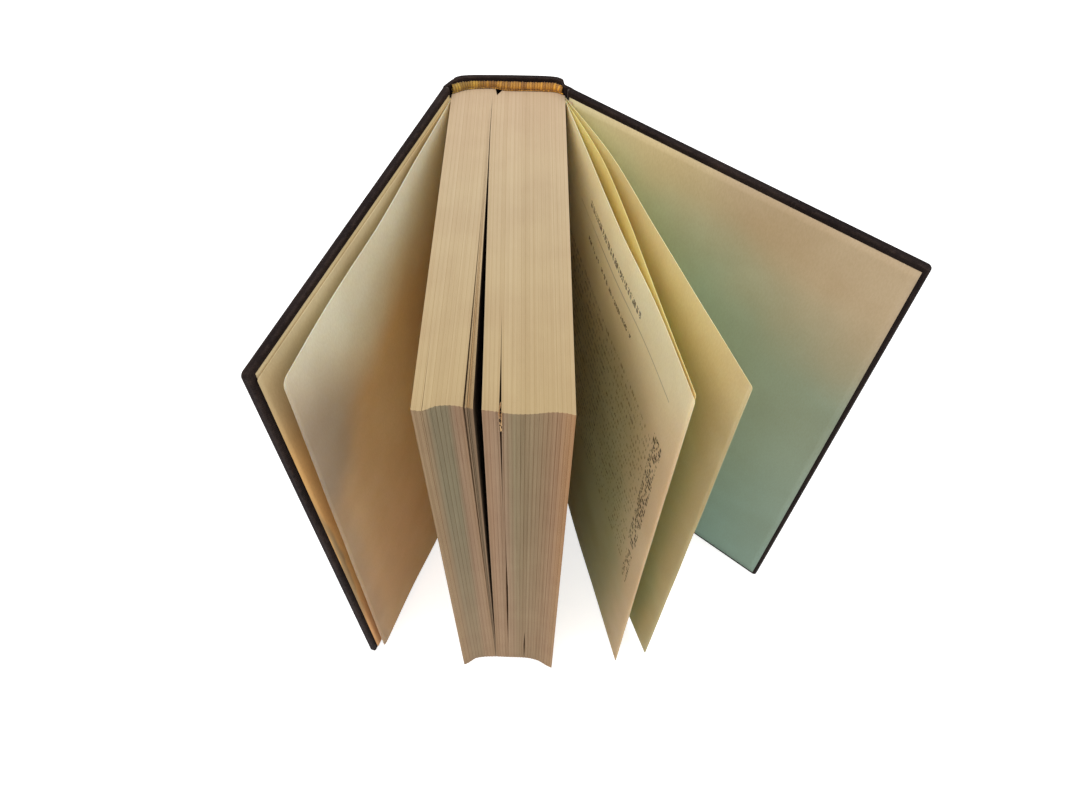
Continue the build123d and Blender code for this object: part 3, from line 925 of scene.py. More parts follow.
@dataclass
class TextBlock:
    """The pages: some hundreds of single leaves in gatherings, parted by the wide gap.

    Attributes:
        leaves: How many leaves there are.
        gatherings: How many gatherings they are in.
        gap_leaf: The first leaf behind the wide gap.
        bundle_leaf: The first leaf of the thin bundle in front of the gap.
        page_depth: The depth of the pages from spine to fore-edge.
        spine_edge: The Y of the spine's two edges.
        half_spine: Half the width at the spine.
        half_fore: Half the width at the fore-edge, at the head.
        tail_narrowing: The share of that width at the tail.
        leaf_limit: The greatest thickness of a leaf.
        straying: How far a leaf's fore-edge strays along its height.
        fraying: How much shorter the worn leaves beside the gap may be.
        crack_width: The width of the crack that runs on from the gap.
        crack_reach: How far in from the fore-edge the crack runs.
        notch_place: Where the spine is set back at the head, as a share of half the width.
        notch_sides: How far that notch reaches to the front and to the back, as such shares.
        notch_depth: How deep it is.
        notch_height: How far down from the head it runs.
        seed: The seed of the leaves' small differences.
    """

    leaves: int = 288
    gatherings: int = 32
    gap_leaf: int = 104
    bundle_leaf: int = 96
    page_depth: float = 124.4 * MM
    spine_edge: float = -5.7 * MM
    half_spine: float = 18.45 * MM
    half_fore: float = 19.85 * MM
    tail_narrowing: float = 0.965
    leaf_limit: float = 0.145 * MM
    straying: float = 0.1 * MM
    fraying: float = 0.45 * MM
    crack_width: float = 0.2 * MM
    crack_reach: float = 118 * MM
    notch_place: float = -0.2
    notch_sides: tuple[float, float] = (0.03, 0.085)
    notch_depth: float = 3.2 * MM
    notch_height: float = 9 * MM
    seed: int = 11

    spine_depth = Profile((
        (-1.0, 0.0), (-0.76, -2.29), (-0.50, -3.1), (-0.24, -3.1), (-0.06, -2.2),
        (0.30, -2.1), (0.62, -2.0), (0.84, -1.61), (1.0, 0.0),
    ))
    head_fore = Profile((
        (-1.0, 0.0), (-0.87, 0.3), (-0.70, -1.1), (-0.50, -1.4), (-0.25, -0.5), (0.0, 0.1),
        (0.22, 0.8), (0.45, 0.8), (0.72, 0.2), (0.88, 0.4), (1.0, 1.0),
    ))
    tail_fore = Profile((
        (-1.0, -0.6), (-0.90, -1.5), (-0.74, -3.5), (-0.45, -4.3), (0.05, -4.2),
        (0.45, -3.9), (0.70, -2.7), (0.88, -0.7), (1.0, 0.3),
    ))
    depth_shares = (0.0, 0.03, 0.08, 0.17, 0.3, 0.45, 0.6, 0.74, 0.86, 0.95, 1.0)
    height_shares = (0.0, 0.03, 0.09, 0.18, 0.3, 0.42, 0.54, 0.66, 0.78, 0.88, 0.955, 0.985, 1.0)

    def __post_init__(self) -> None:
        """Works out the slits from the block's own sizes."""
        top, deep = HEAD + 1 * MM, self.page_depth
        self.main_gap = Slit(
            -0.195, 0.11, 0.83 * deep, top, -0.268, 12 * MM, TAIL + 4 * MM, -5.125 * MM
        )
        self.bundle_slit = Slit(
            -0.364, 0.023, 0.60 * deep, top, -0.292, 8 * MM, TAIL + 18 * MM, -6.15 * MM
        )
        self.short_slits = (
            (140, Slit(0.085, 0.034, 24 * MM, top, 0.085, 2 * MM, TAIL + 150 * MM)),
            (21, Slit(-0.865, 0.009, 30 * MM, top, -0.865, 2 * MM, TAIL + 107 * MM)),
            (145, Slit(
                0.115, 0.036, 8 * MM, TAIL + 26 * MM, 0.125, 2 * MM, TAIL + 116 * MM, lens=True
            )),
            (196, Slit(
                0.41, 0.036, 4 * MM, TAIL + 1 * MM, 0.45, 1 * MM, TAIL + 35 * MM, lens=True
            )),
        )

    def half_width(self, depth_share: float, height_share: float) -> float:
        """Gives half the block's width at a share of its depth and of its height."""
        fore = self.half_fore * between(self.tail_narrowing, 1.0, height_share)
        return between(self.half_spine, fore, depth_share)

    def section(self, leaf: int, depth_share: float, height_share: float) -> tuple[float, float]:
        """Gives where a leaf's two faces lie across the block.

        Args:
            leaf: The leaf's number from the front.
            depth_share: The share of the depth from the spine.
            height_share: The share of the height from the tail.

        Returns:
            The places of its front and back face.
        """
        height = between(TAIL, HEAD, height_share)
        half = self.half_width(depth_share, height_share)
        fore_half = self.half_width(1.0, height_share)
        inset = (1 - depth_share) * self.page_depth
        edges = []
        for slit in (self.bundle_slit, self.main_gap):
            middle = slit.middle(depth_share, height, fore_half, self.page_depth)
            opening = slit.opening(inset, height, fore_half)
            if slit is self.main_gap:
                opening = max(opening, self.crack(inset, height))
            edges.append((middle - opening / 2, middle + opening / 2))
        (bundle_low, bundle_high), (gap_low, gap_high) = edges
        if leaf < self.bundle_leaf:
            first, last, low, high = 0, self.bundle_leaf, -half, bundle_low
        elif leaf < self.gap_leaf:
            first, last, low, high = self.bundle_leaf, self.gap_leaf, bundle_high, gap_low
        else:
            first, last, low, high = self.gap_leaf, self.leaves, gap_high, half
        pitch = (high - low) / (last - first)
        middle = low + pitch * (leaf - first + 0.5)
        for number, slit in self.short_slits:
            away = leaf + 0.5 - number
            push = clamp(1 - abs(away) / 18) * slit.opening(inset, height, fore_half) / 2
            middle += math.copysign(push, away)
        half_leaf = min(pitch * 0.985, self.leaf_limit) / 2
        return middle - half_leaf, middle + half_leaf

    def crack(self, inset: float, height: float) -> float:
        """Gives the least width of the main gap, which runs on as a crack nearly to the spine."""
        along = clamp((self.crack_reach - inset) / (6 * MM))
        return self.crack_width * along * clamp((height - TAIL) / (HEAD - TAIL) * 3 - 1.2)

    def fore_line(self, leaf: int, across: float, height_share: float, wander: float) -> float:
        """Gives the Y of a leaf's fore-edge at a share of the height."""
        share = across / self.half_width(1.0, height_share)
        bulge = between(self.tail_fore.at(share), self.head_fore.at(share), height_share) * MM
        turn = (leaf % (self.leaves // self.gatherings) + 0.5) / (self.leaves // self.gatherings)
        rounding = 0.16 * MM * math.sin(math.pi * turn) ** 0.7 - 0.13 * MM
        slow = noise.noise(Vector((leaf * 0.9, height_share * 5.0, 3.0))) * self.straying
        frayed = self.fraying * wander if self.bundle_leaf <= leaf < self.gap_leaf else 0.0
        return self.spine_edge - (self.page_depth + bulge + rounding + slow - abs(frayed))

    def spine_line(self, across: float, height_share: float) -> float:
        """Gives the Y of a leaf's fold, set back at the head where the pages have come apart."""
        share = across / self.half_spine
        depth = self.spine_depth.at(share) * MM
        off = share - self.notch_place
        front, back = self.notch_sides
        notch = clamp(1 - (off / back if off > 0 else -off / front))
        notch *= clamp(1 - (1 - height_share) * (HEAD - TAIL) / self.notch_height)
        return self.spine_edge - depth - notch * self.notch_depth

    def build(self, material: Material) -> Piece:
        """Makes the pages as one mesh of closed leaves, each with a tone of its own."""
        chance = random.Random(self.seed)
        corners, faces, smooth, tones, worn = [], [], [], [], []
        leaf_faces, leaf_smooth = sheet_faces(len(self.depth_shares), len(self.height_shares))
        # A face that starts one corner further on is split along its other diagonal.
        leaf_faces = [face[1:] + face[:1] for face in leaf_faces]
        size = len(self.depth_shares) * len(self.height_shares)
        per_gathering = self.leaves // self.gatherings
        gathering_tones = [chance.random() for _ in range(self.gatherings)]
        for leaf in range(self.leaves):
            base = len(corners)
            wander = chance.uniform(-1, 1)
            drop = chance.uniform(0.0, 0.07) * MM
            shift = chance.uniform(-0.035, 0.035) * MM
            tone = 0.45 + 0.3 * chance.random() + 0.25 * gathering_tones[leaf // per_gathering]
            if leaf % per_gathering == 0:
                tone = chance.uniform(0.0, 0.45)
            inner = self.bundle_leaf <= leaf < self.gap_leaf
            # The leaves between the slit and the gap get a mask that sets their wear and the
            # painted shade on their faces in the gap.
            worn += [chance.uniform(0.3, 1.0) if inner else 0.0] * (2 * size)
            tones += [tone] * (2 * size)
            for face in (0, 1):
                for depth_share in self.depth_shares:
                    for height_share in self.height_shares:
                        x = self.section(leaf, depth_share, height_share)[face]
                        fore_x = self.section(leaf, 1.0, height_share)[face]
                        spine_x = self.section(leaf, 0.0, height_share)[face]
                        fore = self.fore_line(leaf, fore_x, height_share, wander) + shift
                        y = between(self.spine_line(spine_x, height_share), fore, depth_share)
                        z = between(TAIL, HEAD, height_share)
                        if height_share in (0.0, 1.0):
                            ragged = drop + (0.5 * MM * abs(wander) * depth_share if inner else 0.0)
                            wave = noise.noise(Vector((leaf * 0.7, depth_share * 6.0, 9.0)))
                            ripple = 0.03 * MM * (1 + wave)
                            z += (ragged + ripple) * (1 if height_share == 0.0 else -1)
                        corners.append(Vector((x, y, z)))
            faces += [[base + number for number in face] for face in leaf_faces]
            smooth += leaf_smooth
        return finished_mesh("pages", corners, faces, smooth, material, leaf_tone=tones, worn=worn)


@dataclass(frozen=True)
class TornPaper:
    """Small torn bits that stand up from the short slit at the head of the fore-edge.

    Attributes:
        count: How many there are.
        slit_x: The slit's place across.
        half_slit: Half its width.
        fore_y: The Y of the fore-edge there.
        drop: How far down the fore-edge they reach.
        inset: How far in along the head they reach.
        seed: The seed of their differences.
    """

    count: int = 44
    slit_x: float = 1.69 * MM
    half_slit: float = 0.32 * MM
    fore_y: float = -131.0 * MM
    drop: float = 7.5 * MM
    inset: float = 3.0 * MM
    seed: int = 5

    def build(self, material: Material) -> Piece:
        """Makes the bits as small closed wedges along both lips of the slit."""
        chance = random.Random(self.seed)
        corners, faces = [], []
        for number in range(self.count):
            side = 1 if number % 2 else -1
            along = chance.random() ** 1.4
            if number % 4:
                root = Vector((0.0, self.fore_y + 0.25 * MM, HEAD - 0.2 * MM - along * self.drop))
                out = Vector((0.0, -1.0, chance.uniform(-0.6, 0.6)))
            else:
                root = Vector((0.0, self.fore_y + 0.3 * MM + along * self.inset, HEAD - 0.25 * MM))
                out = Vector((0.0, chance.uniform(-0.8, 0.3), 1.0))
            root.x = self.slit_x + side * self.half_slit * (1.15 - 0.8 * along)
            lean = Vector((-side * chance.uniform(0.1, 1.0), 0.0, chance.uniform(-0.4, 0.4)))
            tip = root + (out + lean).normalized() * chance.uniform(0.3, 0.62) * MM
            wide = Vector((0.2, 1.0, 0.0))
            if number % 4:
                wide = Vector((0.0, chance.uniform(-0.3, 0.3), 1.0))
            wide = wide.normalized() * chance.uniform(0.25, 0.55) * MM
            thick = Vector((0.09 * MM, 0.0, 0.0))
            base = len(corners)
            signs = ((-1, -1), (1, -1), (1, 1), (-1, 1))
            corners += [root + wide * a + thick * b for a, b in signs] + [tip]
            middle = sum(corners[base:], Vector()) / 5
            for face in ([0, 1, 2, 3], [1, 0, 4], [2, 1, 4], [3, 2, 4], [0, 3, 4]):
                points = [corners[base + k] for k in face]
                normal = (points[1] - points[0]).cross(points[2] - points[1])
                outward = normal.dot(points[0] - middle) >= 0
                faces.append([base + k for k in (face if outward else face[::-1])])
        return finished_mesh("torn_paper_bits", corners, faces, [False] * len(faces), material)


@dataclass(frozen=True)
class LooseSheet:
    """A leaf that stands away from the pages between them and a cover.

    Attributes:
        name: The piece's name.
        side: The side of the book that it stands on.
        root_depth: How far in front of the hinge it is held.
        length: Its length from there to its fore-edge.
        head_angle: Its angle at the head, in degrees from straight forward.
        head_bow: How far it swings out of a straight line at each quarter, at the head, in mm.
        tail_angle: Its angle at the tail.
        tail_bow: The same at the tail.
        follow: The share of the cover's turn to follow at its middle, and how much that share
        grows from the fold to the fore-edge and from the tail to the head. It is not used.
        thickness: Its thickness.
        corner: The radius of its two outer corners.
        ripple: How far its surface wanders.
        root_reach: How far from the middle of the spine it is held.
    """

    name: str
    side: Side
    root_depth: float
    length: float
    head_angle: float
    head_bow: Bow
    tail_angle: float
    tail_bow: Bow
    follow: tuple[float, float, float]
    thickness: float = 0.12 * MM
    corner: float = 0.8 * MM
    ripple: float = 0.25 * MM
    root_reach: float = 18.6 * MM

    def line(self, share: float, angle: float, bow: Bow) -> Vector:
        """Gives a point in plan on the leaf at the head or tail."""
        root = Vector((self.side.sign * self.root_reach, self.side.hinge.y - self.root_depth, 0.0))
        swing = Profile(((0.0, 0.0), (0.25, bow[0]), (0.5, bow[1]), (0.75, bow[2]), (1.0, 0.0)))
        along = self.side.direction(angle) * (self.length * share)
        return root + along + self.side.swing(angle) * (swing.at(share) * MM)

    def place(self, across: float, up: float) -> Vector:
        """Gives a point of the leaf's middle surface."""
        past_corner = max(0.0, self.corner - min(up, 1 - up) * (HEAD - TAIL))
        inset = self.corner - math.sqrt(max(0.0, self.corner**2 - past_corner**2))
        share = across * (1 - inset / self.length)
        low = self.line(share, self.tail_angle, self.tail_bow)
        plan = low.lerp(self.line(share, self.head_angle, self.head_bow), up)
        seed = float(len(self.name)) + self.root_depth * 900
        wander = noise.noise(Vector((across * 2.2, up * 3.1, seed)))
        wander += 0.4 * noise.noise(Vector((across * 6.0, up * 8.0, seed + 5)))
        push = self.side.swing(self.head_angle) * (wander * self.ripple * clamp(across * 2))
        return plan + push + Vector((0.0, 0.0, between(TAIL, HEAD, up)))

    def build(self, material: Material) -> Piece:
        """Makes the leaf as a thin closed sheet."""
        across, up = even(30)[:-1] + (0.985, 1.0), with_fine_ends(34, self.corner / (HEAD - TAIL))
        grid = SheetGrid(across, up, self.thickness, self.side.sign)
        return grid.build(self.name, self.place, material)

    def hang(self, piece: Piece) -> None:
        """Bakes the leaf's transform into its mesh; its share of the cover's turn is not applied.
        """
        middle, outward, upward = self.follow
        self.side.body
        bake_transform(piece)


@dataclass(frozen=True)
class Pastedown:
    """The endpaper that is glued to a cover's inner face.

    Attributes:
        side: Its side of the book.
        reach: Where it ends along the cover.
        start: Where it begins along the cover.
        low: The height of its lower edge.
        high: The height of its upper edge.
        thickness: Its thickness.
    """

    side: Side
    reach: float
    start: float = 0.8 * MM
    low: float = 1.8 * MM
    high: float = 204.0 * MM
    thickness: float = 0.15 * MM

    def place(self, across: float, up: float) -> Vector:
        """Gives a point of the paper's middle surface."""
        wander = noise.noise(Vector((across * 7.0, up * 11.0, 2.0 + self.side.sign)))
        depth = PASTE_FACE + self.thickness / 2 + 0.02 * MM + 0.03 * MM * wander
        reach = between(self.start, self.reach, across)
        return self.side.on_cover(reach, -depth, between(self.low, self.high, up))

    def build(self, material: Material) -> Piece:
        """Makes the paper."""
        grid = SheetGrid(even(44), even(66), self.thickness, self.side.sign)
        return grid.build(f"{self.side.label}_pastedown_paper", self.place, material)


def line_through(points: Sequence[Vector], share: float) -> Vector:
    """Reads a smooth line that runs through points.

    Args:
        points: The points, evenly spread along the line's share.
        share: Where to read it, from 0 to 1.

    Returns:
        The point there.
    """
    place = clamp(share) * (len(points) - 1)
    index = min(int(place), len(points) - 2)
    t = place - index
    start, end = points[index], points[index + 1]
    before = points[index - 1] if index else start + (start - end)
    after = points[index + 2] if index + 2 < len(points) else end + (end - start)
    leave, arrive = (end - before) / 2, (after - start) / 2
    return smooth_curve(start, end, leave, arrive, t)


@dataclass(frozen=True)
class JointCloth:
    """The cloth of a joint, from the spine wall's end to the cover, turned in at head and tail.

    Attributes:
        side: Its side of the book.
        fold: Where it turns, out and down from the end of the spine wall, in mm.
        thickness: Its thickness with its turned-in layer.
        sunk: How deep its middle lies below the line of its outer face.
        low: The height of its lower end.
        high: The height of its upper end.
    """

    side: Side
    fold: tuple[float, float]
    thickness: float = 0.9 * MM
    sunk: float = 0.2 * MM
    low: float = 0.15 * MM
    high: float = 205.85 * MM

    @property
    def wall(self) -> Vector:
        """The end of the spine wall."""
        return Vector((self.side.sign * WALL_HALF, -WALL_DROP, 0.0))

    def plan(self) -> list[Vector]:
        """Gives the points in plan that its outer face runs through."""
        offsets = ((-0.5, 0.3), (0.45, 0.1), self.fold)
        turns = ((-0.9, 1.0), (-0.05, 1.0), (0.9, 0.62))
        sign = self.side.sign
        points = [self.wall + Vector((out * sign, down, 0.0)) * MM for out, down in offsets]
        return points + [self.side.on_cover(reach * MM, out * MM) for reach, out in turns]

    def place(self, across: float, up: float) -> Vector:
        """Gives a point of the cloth's middle surface."""
        points = self.plan()
        ahead = line_through(points, min(across + 0.02, 1.0))
        along = ahead - line_through(points, max(across - 0.02, 0.0))
        inward = along.cross(Vector((0.0, 0.0, 1.0))).normalized() * (-self.side.sign)
        rim = clamp(1 - min(up, 1 - up) * (self.high - self.low) / (1.2 * MM))
        depth = self.sunk + 0.18 * MM * rim * rim
        height = Vector((0.0, 0.0, between(self.low, self.high, up)))
        return line_through(points, across) - inward * depth + height

    def build(self, material: Material) -> Piece:
        """Makes the cloth and hides the CAD joint cloth that it stands for."""
        grid = SheetGrid(even(20), with_fine_ends(24, 0.008), self.thickness)
        piece = grid.build(f"{self.side.label}_joint_cloth_fold", self.place, material)
        wall, edge = self.wall, self.side.on_cover(-0.05 * MM, 1.0 * MM)
        self.side.body
        wall.lerp(edge, 0.25)
        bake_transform(piece)
        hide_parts(f"{self.side.label}_joint_cloth")
        return piece


@dataclass(frozen=True)
class EndpaperHinge:
    """The endpaper where it crosses from the side of the pages to the cover.

    Attributes:
        side: Its side of the book.
        thickness: Its thickness.
    """

    side: Side
    thickness: float = 0.12 * MM

    def plan(self) -> list[Vector]:
        """Gives the points in plan that it runs through."""
        sign = self.side.sign
        block = Vector((18.56 * sign, -9.6, 0.0)) * MM
        bend = block + Vector((0.12 * sign, 1.9, 0.0)) * MM
        return [
            block,
            block + Vector((0.0, 1.1, 0.0)) * MM,
            bend.lerp(self.side.on_cover(0.4 * MM, -1.4 * MM), 0.4),
            self.side.on_cover(1.0 * MM, -1.42 * MM),
            self.side.on_cover(2.2 * MM, -1.4 * MM),
        ]

    def place(self, across: float, up: float) -> Vector:
        """Gives a point of the paper's middle surface."""
        return line_through(self.plan(), across) + Vector((0.0, 0.0, between(TAIL, HEAD, up)))

    def build(self, material: Material) -> Piece:
        """Makes the strip."""
        grid = SheetGrid(even(16), even(20), self.thickness, self.side.sign)
        piece = grid.build(f"{self.side.label}_endpaper_hinge", self.place, material)
        points = self.plan()
        self.side.body
        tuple(points[1])
        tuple(points[3])
        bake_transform(piece)
        return piece


class StitchShape(Enum):
    """What a row of thread is made of."""

    RING = "ring"
    BEAD = "bead"


@dataclass(frozen=True)
class StitchRow:
    """Geometry Nodes that set a row of thread stitches along a line.

    Attributes:
        shape: A ring of thread round the roll, or a bead of thread.
    """

    shape: StitchShape

    def tree(self) -> bpy.types.NodeTree:
        """Builds the tree.

        Returns:
            A tree that takes a line of edges with the attribute roll_depth.
        """
        inputs = {
            "Line": "Geometry", "Stitches": 90, "Height": 2.0 * MM, "Thread": 0.4 * MM, "Seed": 3,
            "Material": "Material",
        }
        name = f"{self.shape.value}_stitches"
        work, start, end = node_group(name, inputs, ("Stitches",), "Geometry")
        node = "GeometryNode"
        line = work.first(f"{node}MeshToCurve", {"Mesh": start["Line"]})
        line = work.first(f"{node}ResampleCurve", {"Curve": line, "Count": start["Stitches"]})
        align = "FunctionNodeAlignRotationToVector"
        turn = work.first(align, {"Vector": work.first(f"{node}InputTangent")}, axis="Z")
        upright = {"Rotation": turn, "Vector": (0.0, 0.0, 1.0)}
        turn = work.first(align, upright, axis="Y", pivot_axis="Z")
        depth = work.first(f"{node}InputNamedAttribute", {"Name": "roll_depth"}, data_type="FLOAT")
        limits = {2: 0.93, 3: 1.06, "Seed": start["Seed"]}
        chance = work.add("FunctionNodeRandomValue", limits).outputs[1]
        if self.shape is StitchShape.RING:
            ring, thread = (
                work.first(f"{node}CurvePrimitiveCircle", {"Resolution": sides, "Radius": radius})
                for sides, radius in ((12, 0.5), (5, 0.1))
            )
            unit = work.first(f"{node}CurveToMesh", {"Curve": ring, "Profile Curve": thread})
            wide = 5.4
        else:
            unit = work.first(f"{node}MeshIcoSphere", {"Radius": 0.5, "Subdivisions": 2})
            wide = 1.15
        size = work.joined(
            work.times(depth, chance),
            work.times(start["Height"], chance),
            work.times(start["Thread"], wide),
        )
        inputs = {"Points": line, "Instance": unit, "Rotation": turn, "Scale": size}
        stitches = work.first(f"{node}InstanceOnPoints", inputs)
        tone = work.add("FunctionNodeRandomValue", {2: 0.0, 3: 1.0, "Seed": 17}).outputs[1]
        inputs = {"Geometry": stitches, "Name": "stripe", "Value": tone}
        store = f"{node}StoreNamedAttribute"
        stitches = work.first(store, inputs, data_type="FLOAT", domain="INSTANCE")
        for step in ("RealizeInstances", "SetShadeSmooth"):
            stitches = work.first(node + step, {"Geometry": stitches})
        inputs = {"Geometry": stitches, "Material": start["Material"]}
        work.feed(end[0], work.first(f"{node}SetMaterial", inputs))
        return work.tree

    def run(
        self, name: str, line: Sequence[Vector], depths: Sequence[float], sizes: dict[str, object]
    ) -> Piece:
        """Sets the stitches along a line and turns them into a plain mesh.

        Args:
            name: The piece's name.
            line: The points that the row runs through.
            depths: The depth of the row at each point.
            sizes: The tree's other inputs by name.

        Returns:
            The finished piece.
        """
        guide = bpy.data.meshes.new(name + "_guide")
        links = [(i, i + 1) for i in range(len(line) - 1)]
        guide.from_pydata([tuple(point) for point in line], links, [])
        guide.attributes.new("roll_depth", "FLOAT", "POINT").data.foreach_set("value", list(depths))
        holder = linked(name + "_guide", guide)
        modifier = holder.modifiers.new("stitches", "NODES")
        modifier.node_group = self.tree()
        for item in modifier.node_group.interface.items_tree:
            if item.name in sizes and item.in_out == "INPUT":
                modifier[item.identifier] = sizes[item.name]
        solved = holder.evaluated_get(bpy.context.evaluated_depsgraph_get())
        mesh = bpy.data.meshes.new_from_object(solved)
        bpy.data.objects.remove(holder)
        mesh.name = name
        return linked(name, mesh)


@dataclass(frozen=True)
class Band:
    """A stitched band at one end of the spine: a roll, rings of thread over it and a row of beads.

    Attributes:
        name: The CAD node that it stands for.
        seat: The height of the pages' end that it sits on.
        way: 1 if it stands up from there, -1 if it hangs down.
        front_half: How far it reaches to the front cover.
        back_half: How far it reaches to the back cover.
        height: Its height.
        stitches: How many rings it has.
        thread: The width of its thread.
        gap: How far it stays from the middle of the spine wall.
        sides: How many sides the roll has.
    """

    name: str
    seat: float
    way: int
    front_half: float = 17.95 * MM
    back_half: float = 17.5 * MM
    height: float = 2.15 * MM
    stitches: int = 42
    thread: float = 0.86 * MM
    gap: float = 0.85 * MM
    sides: int = 14

    wall_line = Profile((
        (-17.35, -1.9), (-16.14, -0.95), (-13.88, -0.38), (-7.29, -0.08), (0.0, 0.0),
        (7.29, -0.08), (13.88, -0.38), (16.14, -0.95), (17.35, -1.9),
    ))

    def build(self, material: Material) -> None:
        """Makes the roll, the rings and the beads."""
        level = self.seat + self.way * self.height / 2
        middle, depths, beads = [], [], []
        for share in even(72):
            x = between(-self.front_half, self.back_half, share)
            front = TextBlock().spine_line(x, 0.5) + 0.02 * MM
            back = self.wall_line.at(x / MM) * MM - self.gap
            middle.append(Vector((x, (front + back) / 2, level)))
            depths.append(back - front)
            beads.append(Vector((x, front + 0.1 * MM, self.seat + self.way * 0.22 * MM)))
        rings = {"Stitches": self.stitches, "Height": self.height * 0.9, "Thread": self.thread}
        knots = {"Stitches": self.stitches + 5, "Height": 0.42 * MM, "Thread": self.thread * 0.85}
        rows = (
            ("stitches", StitchShape.RING, middle, [depth * 0.93 for depth in depths], rings),
            ("beads", StitchShape.BEAD, beads, [0.5 * MM] * len(beads), knots),
        )
        pieces = [self.roll(middle, depths, material)]
        for label, shape, line, deep, sizes in rows:
            sizes["Material"] = material
            pieces.append(StitchRow(shape).run(f"{self.name}_{label}", line, deep, sizes))
        for piece in pieces:
            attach(piece, "book_block")
            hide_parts(self.name)
            LOG.info("%s: %d faces", piece.name, len(piece.data.polygons))

    def roll(self, middle: Sequence[Vector], depths: Sequence[float], material: Material) -> Piece:
        """Makes the roll under the thread as a closed tube."""
        count = self.sides
        corners, faces = [], []
        for number, (point, depth) in enumerate(zip(middle, depths)):
            swell = 0.84 if 0 < number < len(middle) - 1 else 0.6
            for step in range(count):
                angle = 2 * math.pi * step / count
                off = Vector((0.0, math.cos(angle) * depth / 2, math.sin(angle) * self.height / 2))
                corners.append(point + off * swell)
        for row in range(len(middle) - 1):
            for step in range(count):
                here, there = row * count + step, row * count + (step + 1) % count
                faces.append([here, there, there + count, here + count])
        smooth = [True] * len(faces) + [False, False]
        last = len(corners) - count
        faces += [list(reversed(range(count))), list(range(last, last + count))]
        return finished_mesh(f"{self.name}_roll", corners, faces, smooth, material)


@dataclass(frozen=True)
class Camera:
    """The camera at the photograph's place and angle.

    Attributes:
        place: Where it stands.
        pitch: How far it looks down, in degrees.
        roll: How far it is rolled, in degrees.
        focal_share: Its focal length as a share of the picture's width.
        sensor: The width of its sensor in mm.
    """

    place: tuple[float, float, float] = (9.58 * MM, -240.14 * MM, 365.36 * MM)
    pitch: float = 55.08
    roll: float = 0.807
    focal_share: float = 820.6 / 1067
    sensor: float = 36.0

    def build(self) -> None:
        """Makes the camera and sets it as the scene's own."""
        down, roll = math.radians(self.pitch), math.radians(self.roll)
        forward = Vector((0.0, math.cos(down), -math.sin(down)))
        level_up = Vector((0.0, math.sin(down), math.cos(down)))
        right = Vector((1.0, 0.0, 0.0)) * math.cos(roll) + level_up * math.sin(roll)
        up = Vector((-1.0, 0.0, 0.0)) * math.sin(roll) + level_up * math.cos(roll)
        data = bpy.data.cameras.new("camera")
        data.sensor_width = self.sensor
        data.lens = self.focal_share * self.sensor
        data.clip_start, data.clip_end = 0.01, 20.0
        camera = linked("camera", data)
        turn = Matrix((right, up, -forward)).transposed().to_4x4()
        camera.matrix_world = Matrix.Translation(self.place) @ turn
        bpy.context.scene.camera = camera


@dataclass(frozen=True)
class Lamp:
    """A square lamp that looks at the book.

    Attributes:
        name: Its name.
        place: Where it hangs.
        size: The length of its side.
        power: Its power in watts.
        aim: The point that it looks at.
    """

    name: str
    place: tuple[float, float, float]
    size: float
    power: float
    aim: tuple[float, float, float] = (0.0, -0.05, 0.12)

    def build(self) -> None:
        """Makes the lamp."""
        data = bpy.data.lights.new(self.name, "AREA")
        data.size, data.energy = self.size, self.power
        lamp = linked(self.name, data)
        lamp.location = self.place
        lamp.rotation_mode = "QUATERNION"
        lamp.rotation_quaternion = (Vector(self.aim) - Vector(self.place)).to_track_quat("-Z", "Y")


@dataclass(frozen=True)
class Studio:
    """A pale floor and plain soft light.

    Attributes:
        floor_reach: How far the floor reaches each way.
        floor_glow: How much white the floor adds to itself where it is seen.
        sky: The strength of the light from all around.
        lamps: The lamps.
    """

    floor_reach: float = 2.5
    floor_glow: float = 0.68
    sky: float = 0.66
    lamps: tuple[Lamp, ...] = (
        Lamp("left", (-0.58, -0.45, 1.22), 0.75, 3.375),
        Lamp("right", (0.75, -0.35, 1.05), 0.75, 2.7),
        Lamp("front", (-0.16, -0.8, 1.15), 0.6, 2.4),
    )

    def build(self) -> None:
        """Makes the floor, the lamps and the world."""
        bpy.context.scene.view_settings.view_transform = "Standard"
        self.make_floor()
        self.make_world()
        for lamp in self.lamps:
            lamp.build()

    def make_floor(self) -> None:
        """Makes a floor that shows white and keeps the book's shadow."""
        work = Surface("studio_floor")
        plain = {
            "Base Color": (0.85, 0.85, 0.85, 1.0), "Roughness": 1.0, "Specular IOR Level": 0.0,
            "Emission Color": WHITE, "Emission Strength": work.times(work.seen(), self.floor_glow),
        }
        for key, value in plain.items():
            work.feed(work.shader.inputs[key], value)
        signs = ((-1, -1), (1, -1), (1, 1), (-1, 1))
        corners = [Vector((x, y, 0)) * self.floor_reach for x, y in signs]
        floor = finished_mesh("studio_floor", corners, [[0, 1, 2, 3]], [False], work.material)
        floor.location.z = -0.2 * MM

    def make_world(self) -> None:
        """Makes a world that lights softly and shows white."""
        world = bpy.data.worlds.new("studio_sky")
        world.use_nodes = True
        work = NodeWork(world.node_tree)
        sky = world.node_tree.nodes["Background"]
        sky.inputs["Color"].default_value = WHITE
        work.feed(sky.inputs["Strength"], work.span(work.seen(), 0.0, 1.0, self.sky, 1.0))
        bpy.context.scene.world = world


